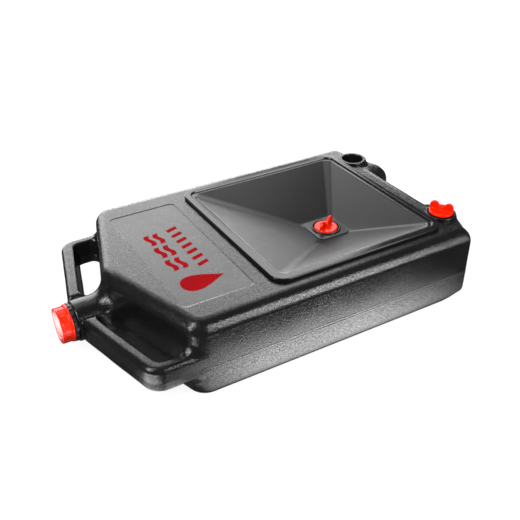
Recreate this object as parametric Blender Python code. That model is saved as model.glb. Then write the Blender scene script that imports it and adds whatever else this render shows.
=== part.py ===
"""Portable waste-oil drain container: a low blow-moulded tank with a square funnel pan
let into its top, a screwed drain plug and vent plug, a plug parking socket, two carrying
handles that join a pouring neck, and a screw cap.

Frame: metres, +Z up, +X to the rear, origin under the middle of the container on the floor.
"""
import math

import bmesh
import bpy
from mathutils import Matrix, Vector

# ---------------------------------------------------------------- driving dimensions
LENGTH = 0.667              # cap face to rear feet
WIDTH = 0.380               # over the tank's sides at the parting line
TOP_Z = 0.127               # flat top of the tank
PARTING_Z = 0.052           # where the two mould halves meet
WALL = 0.003                # blow-moulded wall
GAP = 0.0003                # fitting gap between neighbouring pieces

REAR_X = LENGTH / 2
FRONT_X = -LENGTH / 2
HALF_W = WIDTH / 2
TOP_FILLET = 0.020
BOTTOM_FILLET = 0.006
BOTTOM_DRAFT = 0.0045       # how far the side wall leans in between parting line and floor
TOP_DRAFT = 0.0010          # and between parting line and top
FRONT_LEAN = 1.8            # the front walls lean this much more than the sides

CAP_TO_PAN = 0.435          # cap face to the middle of the funnel pan
PAN_X = FRONT_X + CAP_TO_PAN
NOSE_X = PAN_X - 0.363      # where the two front walls would meet
NOSE_SLOPE = 0.318          # rearward run of a front wall for each unit of width
DECK_Z = 0.1205             # lower top behind the pan, carrying the two rear feet
LOBE_Y = 0.087              # middle of a rear foot
LOBE_HALF = 0.0107
VALLEY_X = PAN_X + 0.1955   # rear wall between the two feet
VALLEY_Y = 0.034
REAR_SIDE_X = PAN_X + 0.1917  # rear corner of the side wall, before rounding
DECK_RUN = 0.120            # how far the deck's solid reaches forward into the hull

PAN_HALF_X = 0.1573
PAN_HALF_Y = 0.1597
PAN_CORNER = 0.023
PAN_WALL = 0.003
RIM_Z = 0.133               # top of the pan's rim
RIM_UNDER_Z = TOP_Z + 0.0023
RIM_WIDTH = 0.0106
RIM_STEP = 0.003            # the funnel starts this far below the rim's top
OPENING_INSET = 0.0103      # tank opening, inside the rim's outer edge
SUMP_X = PAN_X + 0.040      # drain hole in the pan
SUMP_Z = 0.082              # pan floor round the drain hole
SUMP_HALF = 0.0325
SUMP_CORNER = 0.011

PORT_X = PAN_X + 0.183      # vent plug and parking socket, behind the pan's rear corners
PORT_Y = 0.121
COLLAR_R = 0.0245
BOSS_R = 0.0262             # pad under a collar, level with the main top
COLLAR_HEIGHT = 0.004
BARREL_R = 0.0212
BARREL_DEPTH = 0.020
BORE_R = 0.0184
COUNTERBORE_R = 0.0214
PORT_SEAT = 0.0024          # height of a port's counterbore floor above the tank's top
SOCKET_HOLE_R = 0.0193
DRAIN_SEAT = -0.0016        # the drain's counterbore floor, from the pan's floor
DRAIN_BORE_TOP_R = 0.0238
DRAIN_PLATE_HALF = 0.0305
DRAIN_PLATE_THICK = 0.0020

PLUG_R = 0.020
PLUG_HEAD = 0.004
SHANK_R = 0.0176
SHANK_LENGTH = 0.0185
SHANK_WALL = 0.003
WING_THICK = 0.0046
WING_HEIGHT = 0.014
WING_LOBE_R = 0.0054        # rounding of an ear, and how far out its centre stands
WING_LOBE_U = 0.0143
VENT_WING_TURN = math.radians(119.5)
DRAIN_WING_TURN = math.radians(26.0)
SEAL_THICK = 0.0017

NECK_Z = 0.058              # axis of the pouring neck, along X
NECK_R = 0.031
NECK_ROOT_R = 0.046         # the neck flares to this inside the hull's front
RING_R = 0.0293             # ring behind the cap, and the groove behind the ring
RING_LENGTH = 0.0045
GROOVE_R = 0.0268
NECK_BORE_R = 0.0205
NECK_BORE_FROM = 0.200      # the bore's two ends, forward of the origin
NECK_BORE_TO = 0.345
THREAD_R = 0.0242
CAP_LENGTH = 0.0183
CAP_BACK_X = FRONT_X + CAP_LENGTH
CAP_FLANGE_R = 0.0286
CAP_FLANGE_THICK = 0.0030
CAP_R = 0.0272
CAP_SKIRT_R = 0.0249        # inside of the cap's skirt
CAP_FACE = 0.0028
CAP_PANELS = 15             # raised grip panels round the skirt
CAP_PANEL_DEPTH = 0.0009
CAP_PANEL_FROM = 0.0042     # where the panels start and end, from the cap's back
CAP_PANEL_TO = 0.0172
LINER_THICK = 0.0015

HANDLE_BOTTOM_Z = 0.039
HANDLE_TOP_Z = 0.080
HANDLE_NOSE_X = NOSE_X - 0.0525  # line of the handle's front face, at y = 0
HANDLE_SLOPE = 0.258
HANDLE_TOP_FILLET = 0.0065
HANDLE_BOTTOM_FILLET = 0.005
HANDLE_ROOT = 0.090         # the handle's outer end runs this far back beside the hull
HOLE_NOSE_X = NOSE_X - 0.0340    # line of the hand hole's front edge at its top, at y = 0
HOLE_SLOPE = 0.262
HOLE_BACK_X = NOSE_X + 0.018     # its rear edge, at y = 0, just inside the hull's front wall
HOLE_INNER_Y = 0.030
HOLE_OUTER_Y = 0.173
HOLE_DRAFT = 0.0075         # the hole narrows by this much from its top to the parting line

LABEL_X0 = PAN_X - 0.2974
LABEL_X1 = PAN_X - 0.1791
LABEL_HALF_Y = 0.1415
LABEL_RECESS = 0.0009
LABEL_THICK = 0.0004
LABEL_CORNER = 0.006
LABEL_MARGIN = 0.001        # between the label's edge and its recess

CUT_ABOVE = 0.010           # how far the tank's cutters pass its top, out and in
CUT_BELOW = 0.017
ARC_STEPS = 4               # facets in one rounded corner of an outline
ROUND = 32                  # facets round a turned piece
PORT_STEPS = ROUND // 4 - 1  # facets in a quarter circle made by rounded_rectangle

# ---------------------------------------------------------------- start with an empty scene
for leftover in list(bpy.data.objects):
    bpy.data.objects.remove(leftover, do_unlink=True)


# ---------------------------------------------------------------- materials
def material(name, colour, roughness, metallic=0.0):
    made = bpy.data.materials.new(name)
    made.use_nodes = True
    shader = made.node_tree.nodes["Principled BSDF"]
    shader.inputs["Base Color"].default_value = (*colour, 1.0)
    shader.inputs["Roughness"].default_value = roughness
    shader.inputs["Metallic"].default_value = metallic
    return made


BLACK_HDPE = material("black_hdpe", (0.012, 0.012, 0.013), 0.42)
BLACK_PAN = material("black_pan", (0.012, 0.012, 0.013), 0.30)
RED_PLASTIC = material("red_plastic", (0.85, 0.012, 0.0), 0.32)
RUBBER = material("black_rubber", (0.008, 0.008, 0.008), 0.62)
LINER_FOAM = material("liner_foam", (0.55, 0.55, 0.52), 0.75)
LABEL_FILM = material("label_film", (0.02, 0.018, 0.018), 0.38)


# ---------------------------------------------------------------- outlines
def cross(a, b):
    return a.x * b.y - a.y * b.x


def offset_corners(corners, insets):
    """Move each edge of a counter-clockwise polygon inward by its own inset."""
    count = len(corners)
    moved = []
    for i in range(count):
        before = (corners[i] - corners[i - 1]).normalized()
        after = (corners[(i + 1) % count] - corners[i]).normalized()
        point_a = corners[i] + Vector((-before.y, before.x)) * insets[i - 1]
        point_b = corners[i] + Vector((-after.y, after.x)) * insets[i]
        along = cross(point_b - point_a, after) / cross(before, after)
        moved.append(point_a + before * along)
    return moved


def round_corners(corners, radii, steps=ARC_STEPS):
    """Replace each corner with an arc of steps facets."""
    count = len(corners)
    points = []
    for i in range(count):
        corner = corners[i]
        back = (corners[i - 1] - corner).normalized()
        ahead = (corners[(i + 1) % count] - corner).normalized()
        half_angle = back.angle(ahead) / 2
        middle = (back + ahead).normalized()
        centre = corner + middle * (radii[i] / math.sin(half_angle))
        start = corner + back * (radii[i] / math.tan(half_angle)) - centre
        end = corner + ahead * (radii[i] / math.tan(half_angle)) - centre
        sweep = math.atan2(cross(start, end), start.dot(end))
        for k in range(steps + 1):
            points.append(centre + Matrix.Rotation(sweep * k / steps, 2) @ start)
    return points


def outline(corners, radii, leans, draft=0.0, inset=0.0):
    """A rounded outline, leaned in by draft (times each edge's lean) plus an even inset."""
    vectors = [Vector(c) for c in corners]
    count = len(vectors)
    moved = offset_corners(vectors, [draft * lean + inset for lean in leans])
    shrunk = []
    for i in range(count):
        turn = cross(vectors[i] - vectors[i - 1], vectors[(i + 1) % count] - vectors[i])
        change = -inset if turn > 0 else inset
        shrunk.append(max(radii[i] + change, 0.0008))
    return round_corners(moved, shrunk)


def rounded_rectangle(x, y, half_x, half_y, radius, steps=ARC_STEPS):
    corners = [Vector((x + sx * half_x, y + sy * half_y)) for sx, sy in ((1, -1), (1, 1), (-1, 1), (-1, -1))]
    return round_corners(corners, [radius] * 4, steps)


def mirrored(half):
    """Close a half outline, listed from the nose round -Y to the rear, with its mirror image."""
    other = [(x, -y) for x, y in reversed(half) if y != 0.0]
    return half + other


# ---------------------------------------------------------------- solids
def finish(name, bm, paint, smooth_angle=35.0):
    bmesh.ops.recalc_face_normals(bm, faces=bm.faces)
    mesh = bpy.data.meshes.new(name)
    bm.to_mesh(mesh)
    bm.free()
    mesh.materials.append(paint)
    mesh.shade_smooth()
    mesh.set_sharp_from_angle(angle=math.radians(smooth_angle))
    made = bpy.data.objects.new(name, mesh)
    bpy.context.collection.objects.link(made)
    return made


def bridge(bm, ring_a, ring_b):
    count = len(ring_a)
    for i in range(count):
        j = (i + 1) % count
        bm.faces.new((ring_a[i], ring_a[j], ring_b[j], ring_b[i]))


def ring_of(bm, points, z):
    return [bm.verts.new((p.x, p.y, z)) for p in points]


def loft(name, levels, paint, tube=False):
    """Join outlines [(points, z), ...]: a capped solid, or a closed tube that ends where it began."""
    bm = bmesh.new()
    rings = [ring_of(bm, points, z) for points, z in levels]
    for below, above in zip(rings, rings[1:]):
        bridge(bm, below, above)
    if tube:
        bridge(bm, rings[-1], rings[0])
    else:
        bm.faces.new(rings[0])
        bm.faces.new(rings[-1])
    return finish(name, bm, paint)


def turned(name, profile, paint, segments=ROUND, radius_at=None):
    """Turn a closed (radius, z) profile about Z. A radius of 0 is a point on the axis."""
    bm = bmesh.new()
    rings = []
    for radius, z in profile:
        if radius == 0.0:
            rings.append([bm.verts.new((0.0, 0.0, z))])
            continue
        ring = []
        for k in range(segments):
            angle = 2 * math.pi * k / segments
            r = radius if radius_at is None else radius_at(radius, z, angle)
            ring.append(bm.verts.new((r * math.cos(angle), r * math.sin(angle), z)))
        rings.append(ring)
    for i, ring in enumerate(rings):
        following = rings[(i + 1) % len(rings)]
        if len(ring) == 1 and len(following) == 1:
            continue
        for k in range(segments):
            n = (k + 1) % segments
            if len(ring) == 1:
                bm.faces.new((ring[0], following[n], following[k]))
            elif len(following) == 1:
                bm.faces.new((ring[k], ring[n], following[0]))
            else:
                bm.faces.new((ring[k], ring[n], following[n], following[k]))
    return finish(name, bm, paint)


def combine(target, tool, operation, solver="EXACT"):
    """Apply a Boolean from a hidden tool object."""
    step = target.modifiers.new(tool.name, "BOOLEAN")
    step.operation = operation
    step.solver = solver
    step.object = tool
    tool.hide_render = True
    tool.display_type = "WIRE"


def fillet_levels(bottom, top, bottom_radius, top_radius, steps=3):
    """(z, inset) pairs up a wall that is rounded at its foot and its head."""
    pairs = []
    for k in range(steps + 1):
        angle = math.pi / 2 * k / steps
        pairs.append((bottom + bottom_radius * (1 - math.cos(angle)), bottom_radius * (1 - math.sin(angle))))
    pairs.append((PARTING_Z, 0.0))
    for k in range(steps, -1, -1):
        angle = math.pi / 2 * k / steps
        pairs.append((top - top_radius * (1 - math.cos(angle)), top_radius * (1 - math.sin(angle))))
    return pairs


def draft_at(z):
    """Lean of the tank's side walls away from the parting line."""
    if z < PARTING_Z:
        return BOTTOM_DRAFT * (PARTING_Z - z) / PARTING_Z
    return TOP_DRAFT * (z - PARTING_Z) / (TOP_Z - PARTING_Z)


# ---------------------------------------------------------------- tank body
def walls(name, half, radii, leans, top, shell, floor):
    """A mirror-symmetric solid with the tank's draft and fillets, drawn in by shell."""
    every_radius = radii + (radii[:0:-1] if half[0][1] == 0.0 else radii[::-1])
    levels = []
    for z, inset in fillet_levels(floor, top - shell, BOTTOM_FILLET - shell, TOP_FILLET - shell):
        levels.append((outline(mirrored(half), every_radius, leans, draft_at(z), inset + shell), z))
    return loft(name, levels, BLACK_HDPE)


def main_hull(name, shell):
    """The tank up to the rear wall, without handles."""
    half = [
        (NOSE_X, 0.0),
        (NOSE_X + NOSE_SLOPE * HALF_W, -HALF_W),
        (REAR_SIDE_X, -HALF_W),
        (VALLEY_X, -HALF_W + 0.020),
    ]
    front, side, rear = FRONT_LEAN, 1.0, 0.0
    leans = [front, side, rear, rear, rear, side, front]
    return walls(name, half, [0.060, 0.028, 0.020, 0.020], leans, TOP_Z, shell, shell)


def rear_deck(name, shell):
    """The lower rear part with its two feet, on which the tank stands upright."""
    half = [
        (REAR_SIDE_X - DECK_RUN, -HALF_W + GAP),
        (REAR_SIDE_X, -HALF_W + GAP),
        (REAR_X, -LOBE_Y - LOBE_HALF),
        (REAR_X, -LOBE_Y + LOBE_HALF),
        (VALLEY_X, -VALLEY_Y),
    ]
    leans = [1.0] + [0.0] * 7 + [1.0, 0.0]
    floor = shell * 1.2
    return walls(name, half, [0.004, 0.020, 0.014, 0.014, 0.020], leans, DECK_Z, shell, floor)


def handle(name, side, shell):
    """One carrying handle: a band round its hand hole, running into the hull and the neck."""
    outer_y = HALF_W - GAP
    outer = [
        (HANDLE_NOSE_X + HANDLE_SLOPE * 0.010, -0.010),
        (HANDLE_NOSE_X + HANDLE_SLOPE * outer_y, -outer_y),
        (NOSE_X + HANDLE_ROOT, -outer_y),
        (NOSE_X + HANDLE_ROOT, -0.150),
        (NOSE_X + 0.030, -0.010),
    ]
    hole = [
        (HOLE_NOSE_X + HOLE_SLOPE * HOLE_INNER_Y, -HOLE_INNER_Y),
        (HOLE_NOSE_X + HOLE_SLOPE * HOLE_OUTER_Y, -HOLE_OUTER_Y),
        (HOLE_BACK_X + NOSE_SLOPE * HOLE_OUTER_Y, -HOLE_OUTER_Y),
        (HOLE_BACK_X + NOSE_SLOPE * HOLE_INNER_Y, -HOLE_INNER_Y),
    ]
    bottom = HANDLE_BOTTOM_Z + shell
    top = HANDLE_TOP_Z - shell
    levels = fillet_levels(bottom, top, HANDLE_BOTTOM_FILLET - shell, HANDLE_TOP_FILLET - shell, 2)
    outer_rings = []
    hole_rings = []
    for z, inset in levels:
        rounded = outline(outer, [0.004, 0.025, 0.004, 0.004, 0.004], [1.0] * 5, draft_at(z), inset + shell)
        narrowing = HOLE_DRAFT * (1 - abs(z - PARTING_Z) / (HANDLE_TOP_Z - PARTING_Z))
        hole_leans = [1.0, 1.0, 0.0, 0.0]
        widened = outline(hole, [0.010, 0.014, 0.006, 0.006], hole_leans, narrowing, -inset * 0.6 - shell)
        outer_rings.append(([Vector((p.x, p.y * side)) for p in rounded], z))
        hole_rings.append(([Vector((p.x, p.y * side)) for p in widened], z))
    bm = bmesh.new()
    outside = [ring_of(bm, points, z) for points, z in outer_rings]
    inside = [ring_of(bm, points, z) for points, z in hole_rings]
    for rings in (outside, inside):
        for below, above in zip(rings, rings[1:]):
            bridge(bm, below, above)
    for outer_ring, inner_ring in ((outside[0], inside[0]), (outside[-1], inside[-1])):
        edges = []
        for ring in (outer_ring, inner_ring):
            for i, vert in enumerate(ring):
                following = ring[(i + 1) % len(ring)]
                edges.append(bm.edges.get((vert, following)))
        bmesh.ops.triangle_fill(bm, edges=edges, use_beauty=True)
    return finish(name, bm, BLACK_HDPE)


def along_neck(made):
    """Lay a piece turned about Z along the neck, its +Z end facing forward (-X)."""
    made.matrix_world = Matrix.Translation((0.0, 0.0, NECK_Z)) @ Matrix.Rotation(-math.pi / 2, 4, "Y")
    return made


def neck():
    """Pouring neck with a flared root, a ring behind the cap and the threaded finish."""
    ring_front = CAP_BACK_X + GAP
    ring_back = -CAP_BACK_X - RING_LENGTH
    lip = FRONT_X + CAP_FACE + LINER_THICK + 2 * GAP
    profile = [
        (0.0, -(NOSE_X + 0.030)),
        (NECK_ROOT_R, -(NOSE_X + 0.030)),
        (NECK_ROOT_R, -(NOSE_X + 0.014)),
        (0.038, -(NOSE_X + 0.004)),
        (0.033, -(NOSE_X - 0.006)),
        (NECK_R, -(NOSE_X - 0.016)),
        (NECK_R, ring_back - 0.0034),
        (NECK_R - 0.0015, ring_back - 0.0022),
        (GROOVE_R, ring_back - 0.0018),
        (GROOVE_R, ring_back - 0.0006),
        (RING_R, ring_back),
        (RING_R, -ring_front - 0.0006),
        (RING_R - 0.0007, -ring_front),
        (THREAD_R, -ring_front),
        (THREAD_R, -lip - 0.0008),
        (THREAD_R - 0.0008, -lip),
        (0.0, -lip),
    ]
    return along_neck(turned("neck_tool", profile, BLACK_HDPE))


def neck_bore():
    profile = [
        (0.0, NECK_BORE_FROM),
        (NECK_BORE_R, NECK_BORE_FROM),
        (NECK_BORE_R, NECK_BORE_TO),
        (0.0, NECK_BORE_TO),
    ]
    return along_neck(turned("neck_bore_cut", profile, BLACK_HDPE))


def prism(name, points, bottom, top):
    return loft(name, [(points, bottom), (points, top)], BLACK_HDPE)


def top_cutters():
    """Openings through the tank's top for the pan and the two ports, and the label's recess."""
    above = TOP_Z + CUT_ABOVE
    below = TOP_Z - CUT_BELOW
    half_x = PAN_HALF_X - OPENING_INSET
    half_y = PAN_HALF_Y - OPENING_INSET
    opening = rounded_rectangle(PAN_X, 0.0, half_x, half_y, PAN_CORNER - OPENING_INSET)
    label_x = (LABEL_X0 + LABEL_X1) / 2
    recess = rounded_rectangle(label_x, 0.0, (LABEL_X1 - LABEL_X0) / 2, LABEL_HALF_Y, LABEL_CORNER)
    port_r = BARREL_R + GAP
    cutters = [
        prism("pan_opening_cut", opening, below, above),
        prism("label_recess_cut", recess, TOP_Z - LABEL_RECESS, above),
    ]
    for side, place in ((1, "far"), (-1, "near")):
        port = rounded_rectangle(PORT_X, side * PORT_Y, port_r, port_r, port_r, PORT_STEPS)
        cutters.append(prism("port_cut_" + place, port, below, above))
    return cutters


def tank_body():
    body = main_hull("tank_body", 0.0)
    solids = [rear_deck("rear_deck", 0.0), handle("handle_far", 1, 0.0), handle("handle_near", -1, 0.0), neck()]
    for side, place in ((1, "far"), (-1, "near")):
        pad = rounded_rectangle(PORT_X, side * PORT_Y, BOSS_R, BOSS_R, BOSS_R, PORT_STEPS)
        solids.append(prism("boss_" + place, pad, DECK_Z - 2 * WALL, TOP_Z))
    hollows = [
        main_hull("hull_hollow", WALL),
        rear_deck("deck_hollow", WALL),
        handle("handle_hollow_far", 1, WALL),
        handle("handle_hollow_near", -1, WALL),
        neck_bore(),
    ]
    for tool in solids:
        combine(body, tool, "UNION", "MANIFOLD")
    for tool in hollows + top_cutters():
        combine(body, tool, "DIFFERENCE", "MANIFOLD")
    return body


# ---------------------------------------------------------------- funnel pan
def pan_level(inset, z, corner=None):
    """A rounded square inside the rim's outer edge."""
    radius = max(PAN_CORNER - inset, 0.008) if corner is None else corner
    return (rounded_rectangle(PAN_X, 0.0, PAN_HALF_X - inset, PAN_HALF_Y - inset, radius, 5), z)


def sump_level(half, radius, z):
    return (rounded_rectangle(SUMP_X, 0.0, half, half, radius, 5), z)


def drain_pan():
    ledge_z = RIM_Z - RIM_STEP
    hole = DRAIN_BORE_TOP_R + GAP
    levels = [
        pan_level(0.0, RIM_UNDER_Z),
        pan_level(0.0, RIM_Z - 0.0014),
        pan_level(0.0014, RIM_Z),
        pan_level(RIM_WIDTH - 0.0010, RIM_Z),
        pan_level(RIM_WIDTH, RIM_Z - 0.0010),
        pan_level(RIM_WIDTH + 0.0004, ledge_z),
        pan_level(0.0152, ledge_z),
        pan_level(0.0166, ledge_z - 0.0012),
        sump_level(SUMP_HALF, SUMP_CORNER, SUMP_Z),
        sump_level(hole, hole, SUMP_Z),
        sump_level(hole, hole, SUMP_Z - PAN_WALL),
        sump_level(SUMP_HALF, SUMP_CORNER, SUMP_Z - PAN_WALL),
        pan_level(0.0160, ledge_z - 0.0012 - PAN_WALL),
        pan_level(OPENING_INSET + 0.0018, ledge_z - 0.0004 - PAN_WALL),
        pan_level(OPENING_INSET + 0.0010, ledge_z - PAN_WALL + 0.0004),
        pan_level(OPENING_INSET + 0.0010, RIM_UNDER_Z),
    ]
    return loft("drain_pan", levels, BLACK_PAN, tube=True)


def pan_seal():
    bottom = TOP_Z + GAP
    top = RIM_UNDER_Z - GAP
    levels = [
        pan_level(0.0007, bottom),
        pan_level(0.0004, (bottom + top) / 2),
        pan_level(0.0007, top),
        pan_level(OPENING_INSET - 0.0006, top),
        pan_level(OPENING_INSET - 0.0006, bottom),
    ]
    return loft("pan_seal", levels, RUBBER, tube=True)


# ---------------------------------------------------------------- threaded bushes and socket
def vent_bush():
    profile = [
        (BORE_R, -BARREL_DEPTH),
        (BARREL_R, -BARREL_DEPTH),
        (BARREL_R, GAP),
        (COLLAR_R, GAP),
        (COLLAR_R, COLLAR_HEIGHT - 0.0010),
        (COLLAR_R - 0.0010, COLLAR_HEIGHT),
        (COUNTERBORE_R, COLLAR_HEIGHT),
        (COUNTERBORE_R, PORT_SEAT),
        (BORE_R, PORT_SEAT),
    ]
    bush = turned("vent_bush", profile, BLACK_HDPE)
    bush.location = (PORT_X, -PORT_Y, TOP_Z)
    return bush


def plug_park_socket():
    """A blind socket, with a collar like the vent's."""
    outside_depth = BARREL_DEPTH + 0.0015
    inside_depth = outside_depth - 0.0025
    profile = [
        (0.0, -outside_depth),
        (BARREL_R, -outside_depth),
        (BARREL_R, GAP),
        (COLLAR_R, GAP),
        (COLLAR_R, COLLAR_HEIGHT - 0.0010),
        (COLLAR_R - 0.0010, COLLAR_HEIGHT),
        (SOCKET_HOLE_R + 0.0008, COLLAR_HEIGHT),
        (SOCKET_HOLE_R, COLLAR_HEIGHT - 0.0010),
        (SOCKET_HOLE_R, -inside_depth),
        (0.0, -inside_depth),
    ]
    socket = turned("plug_park_socket", profile, BLACK_HDPE)
    socket.location = (PORT_X, PORT_Y, TOP_Z)
    return socket


def drain_bush():
    """Square plate on the pan's floor, with a collar, a counterbore and a threaded barrel."""
    plate_bottom = GAP
    plate_top = DRAIN_PLATE_THICK
    barrel_bottom = -BARREL_DEPTH - 0.0020
    shoulder = -PAN_WALL - 0.0015
    collar_r = COLLAR_R - 0.0002
    square = (DRAIN_PLATE_HALF, 0.010)

    def level(half, radius, z):
        return (rounded_rectangle(0.0, 0.0, half, half, radius, PORT_STEPS), z)

    levels = [
        level(BORE_R, BORE_R, barrel_bottom),
        level(BARREL_R, BARREL_R, barrel_bottom),
        level(BARREL_R, BARREL_R, shoulder),
        level(DRAIN_BORE_TOP_R, DRAIN_BORE_TOP_R, shoulder),
        level(DRAIN_BORE_TOP_R, DRAIN_BORE_TOP_R, plate_bottom),
        level(*square, plate_bottom),
        level(*square, plate_top - 0.0006),
        level(DRAIN_PLATE_HALF - 0.0008, 0.0092, plate_top),
        level(collar_r, collar_r, plate_top),
        level(collar_r, collar_r, COLLAR_HEIGHT - 0.0008),
        level(collar_r - 0.0008, collar_r - 0.0008, COLLAR_HEIGHT),
        level(COUNTERBORE_R, COUNTERBORE_R, COLLAR_HEIGHT),
        level(COUNTERBORE_R, COUNTERBORE_R, DRAIN_SEAT),
        level(BORE_R, BORE_R, DRAIN_SEAT),
    ]
    bush = loft("drain_bush", levels, BLACK_HDPE, tube=True)
    bush.location = (SUMP_X, 0.0, SUMP_Z)
    return bush


# ---------------------------------------------------------------- plugs and their seals
def wing_outline():
    """Side view of the grip: two rounded ears with a V between them, as (across, height)."""
    lobe_z = WING_HEIGHT - WING_LOBE_R
    right = []
    for k in range(9):
        angle = math.radians(-8 + 152 * k / 8)
        right.append((WING_LOBE_U + WING_LOBE_R * math.cos(angle), lobe_z + WING_LOBE_R * math.sin(angle)))
    left = [(-u, z) for u, z in reversed(right)]
    foot = PLUG_R - 0.0014
    return [(-foot, -0.001), (foot, -0.001)] + right + [(0.0, 0.0006)] + left


def wing_plate(name):
    bm = bmesh.new()
    sides = []
    for y in (-WING_THICK / 2, WING_THICK / 2):
        sides.append([bm.verts.new((u, y, PLUG_HEAD + z)) for u, z in wing_outline()])
    bridge(bm, sides[0], sides[1])
    bm.faces.new(sides[0])
    bm.faces.new(sides[1])
    return finish(name, bm, RED_PLASTIC)


def plug(name, location, wing_turn):
    """Winged plug whose origin is on its axis, at the underside of its head."""
    inner_r = SHANK_R - SHANK_WALL
    profile = [
        (0.0, -0.0010),
        (inner_r, -0.0010),
        (inner_r, -SHANK_LENGTH),
        (SHANK_R - 0.0012, -SHANK_LENGTH),
        (SHANK_R, -SHANK_LENGTH + 0.0012),
        (SHANK_R, 0.0),
        (PLUG_R - 0.0005, 0.0),
        (PLUG_R, 0.0005),
        (PLUG_R, PLUG_HEAD - 0.0010),
        (PLUG_R - 0.0010, PLUG_HEAD),
        (0.0, PLUG_HEAD),
    ]
    body = turned(name, profile, RED_PLASTIC)
    body.location = location
    body.rotation_euler = (0.0, 0.0, wing_turn)
    wings = wing_plate(name + "_wing_tool")
    wings.parent = body
    combine(body, wings, "UNION")
    return body


def plug_seal(name, location):
    """Ring under a plug's head, with rounded edges."""
    inner = SHANK_R + GAP
    outer = COUNTERBORE_R - GAP
    edge = 0.0004
    profile = [
        (inner, -SEAL_THICK + edge),
        (inner + edge, -SEAL_THICK),
        (outer - edge, -SEAL_THICK),
        (outer, -SEAL_THICK + edge),
        (outer, -edge),
        (outer - edge, 0.0),
        (inner + edge, 0.0),
        (inner, -edge),
    ]
    seal = turned(name, profile, RUBBER)
    seal.location = location
    return seal


def plug_set(prefix, x, y, seat_z, wing_turn):
    """A plug and its seal, standing on a bush's counterbore."""
    seal_top = seat_z + GAP + SEAL_THICK
    plug_seal(prefix + "_plug_seal", (x, y, seal_top))
    plug(prefix + "_plug", (x, y, seal_top + GAP), wing_turn)


# ---------------------------------------------------------------- spout cap
def cap_radius(radius, z, angle):
    """Grip panels round the cap's skirt, between its rear flange and its face."""
    on_skirt = radius > CAP_SKIRT_R + 0.001 and CAP_PANEL_FROM < z < CAP_PANEL_TO
    if not on_skirt or math.cos(CAP_PANELS * angle) >= 0.0:
        return radius
    return radius - CAP_PANEL_DEPTH


def spout_cap():
    inner_face = CAP_LENGTH - CAP_FACE
    profile = [
        (CAP_SKIRT_R, 0.0),
        (CAP_FLANGE_R - 0.0005, 0.0),
        (CAP_FLANGE_R, 0.0005),
        (CAP_FLANGE_R, CAP_FLANGE_THICK),
        (CAP_R, CAP_PANEL_FROM),
        (CAP_R, CAP_PANEL_FROM + 0.0001),
        (CAP_R, CAP_PANEL_TO - 0.0007),
        (CAP_R, CAP_PANEL_TO),
        (CAP_R - 0.0014, CAP_LENGTH),
        (0.0, CAP_LENGTH),
        (0.0, inner_face),
        (CAP_SKIRT_R, inner_face),
    ]
    cap = turned("spout_cap", profile, RED_PLASTIC, CAP_PANELS * 4, cap_radius)
    cap.matrix_world = Matrix.Translation((CAP_BACK_X, 0.0, NECK_Z)) @ Matrix.Rotation(-math.pi / 2, 4, "Y")
    return cap


def spout_cap_liner():
    radius = CAP_SKIRT_R - GAP
    profile = [(0.0, 0.0), (radius, 0.0), (radius, LINER_THICK), (0.0, LINER_THICK)]
    liner = turned("spout_cap_liner", profile, LINER_FOAM)
    back = FRONT_X + CAP_FACE + LINER_THICK + GAP
    liner.matrix_world = Matrix.Translation((back, 0.0, NECK_Z)) @ Matrix.Rotation(-math.pi / 2, 4, "Y")
    return liner


# ---------------------------------------------------------------- label
def label():
    x = (LABEL_X0 + LABEL_X1) / 2
    half_x = (LABEL_X1 - LABEL_X0) / 2 - LABEL_MARGIN
    half_y = LABEL_HALF_Y - LABEL_MARGIN
    points = rounded_rectangle(x, 0.0, half_x, half_y, LABEL_CORNER - LABEL_MARGIN)
    bottom = TOP_Z - LABEL_RECESS + GAP
    return loft("label", [(points, bottom), (points, bottom + LABEL_THICK)], LABEL_FILM)


tank_body()
drain_pan()
pan_seal()
vent_bush()
plug_park_socket()
drain_bush()
plug_set("vent", PORT_X, -PORT_Y, TOP_Z + PORT_SEAT, VENT_WING_TURN)
plug_set("drain", SUMP_X, 0.0, SUMP_Z + DRAIN_SEAT, DRAIN_WING_TURN)
spout_cap()
spout_cap_liner()
label()
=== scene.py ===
"""Waste-oil drain container: the finished surfaces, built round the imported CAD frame.

Metres, +Z up, +X to the rear. Every place comes from the frame's boxes. The tank and the plugs
are written as distance fields, so that their fillets run together as moulded plastic does, and
are meshed here; the turned and lofted pieces are built from softened profiles.
"""
import math

import bmesh
import bpy
import numpy as np
from mathutils import Matrix, Vector


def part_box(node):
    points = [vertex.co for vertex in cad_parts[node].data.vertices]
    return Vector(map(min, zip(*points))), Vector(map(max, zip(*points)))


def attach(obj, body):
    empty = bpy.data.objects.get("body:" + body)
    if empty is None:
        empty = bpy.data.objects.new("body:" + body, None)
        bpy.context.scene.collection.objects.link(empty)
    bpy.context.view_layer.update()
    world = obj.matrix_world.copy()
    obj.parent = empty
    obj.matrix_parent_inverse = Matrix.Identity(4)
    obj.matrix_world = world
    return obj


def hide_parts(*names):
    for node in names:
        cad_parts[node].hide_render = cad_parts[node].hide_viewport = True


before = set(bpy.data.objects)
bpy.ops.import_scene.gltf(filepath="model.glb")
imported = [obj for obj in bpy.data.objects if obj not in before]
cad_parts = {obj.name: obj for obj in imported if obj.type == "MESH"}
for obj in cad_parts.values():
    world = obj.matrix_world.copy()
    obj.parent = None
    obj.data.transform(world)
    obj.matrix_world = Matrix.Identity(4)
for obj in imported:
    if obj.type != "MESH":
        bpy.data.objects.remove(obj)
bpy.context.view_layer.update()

# ---------------------------------------------------------------- places from the frame
TANK_LO, TANK_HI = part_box("tank_body")
PAN_LO, PAN_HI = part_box("drain_pan")
SEAL_LO, SEAL_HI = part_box("pan_seal")
DRAIN_LO, DRAIN_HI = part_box("drain_bush")
VENT_LO, VENT_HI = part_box("vent_bush")
SOCKET_LO, SOCKET_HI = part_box("plug_park_socket")
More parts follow.
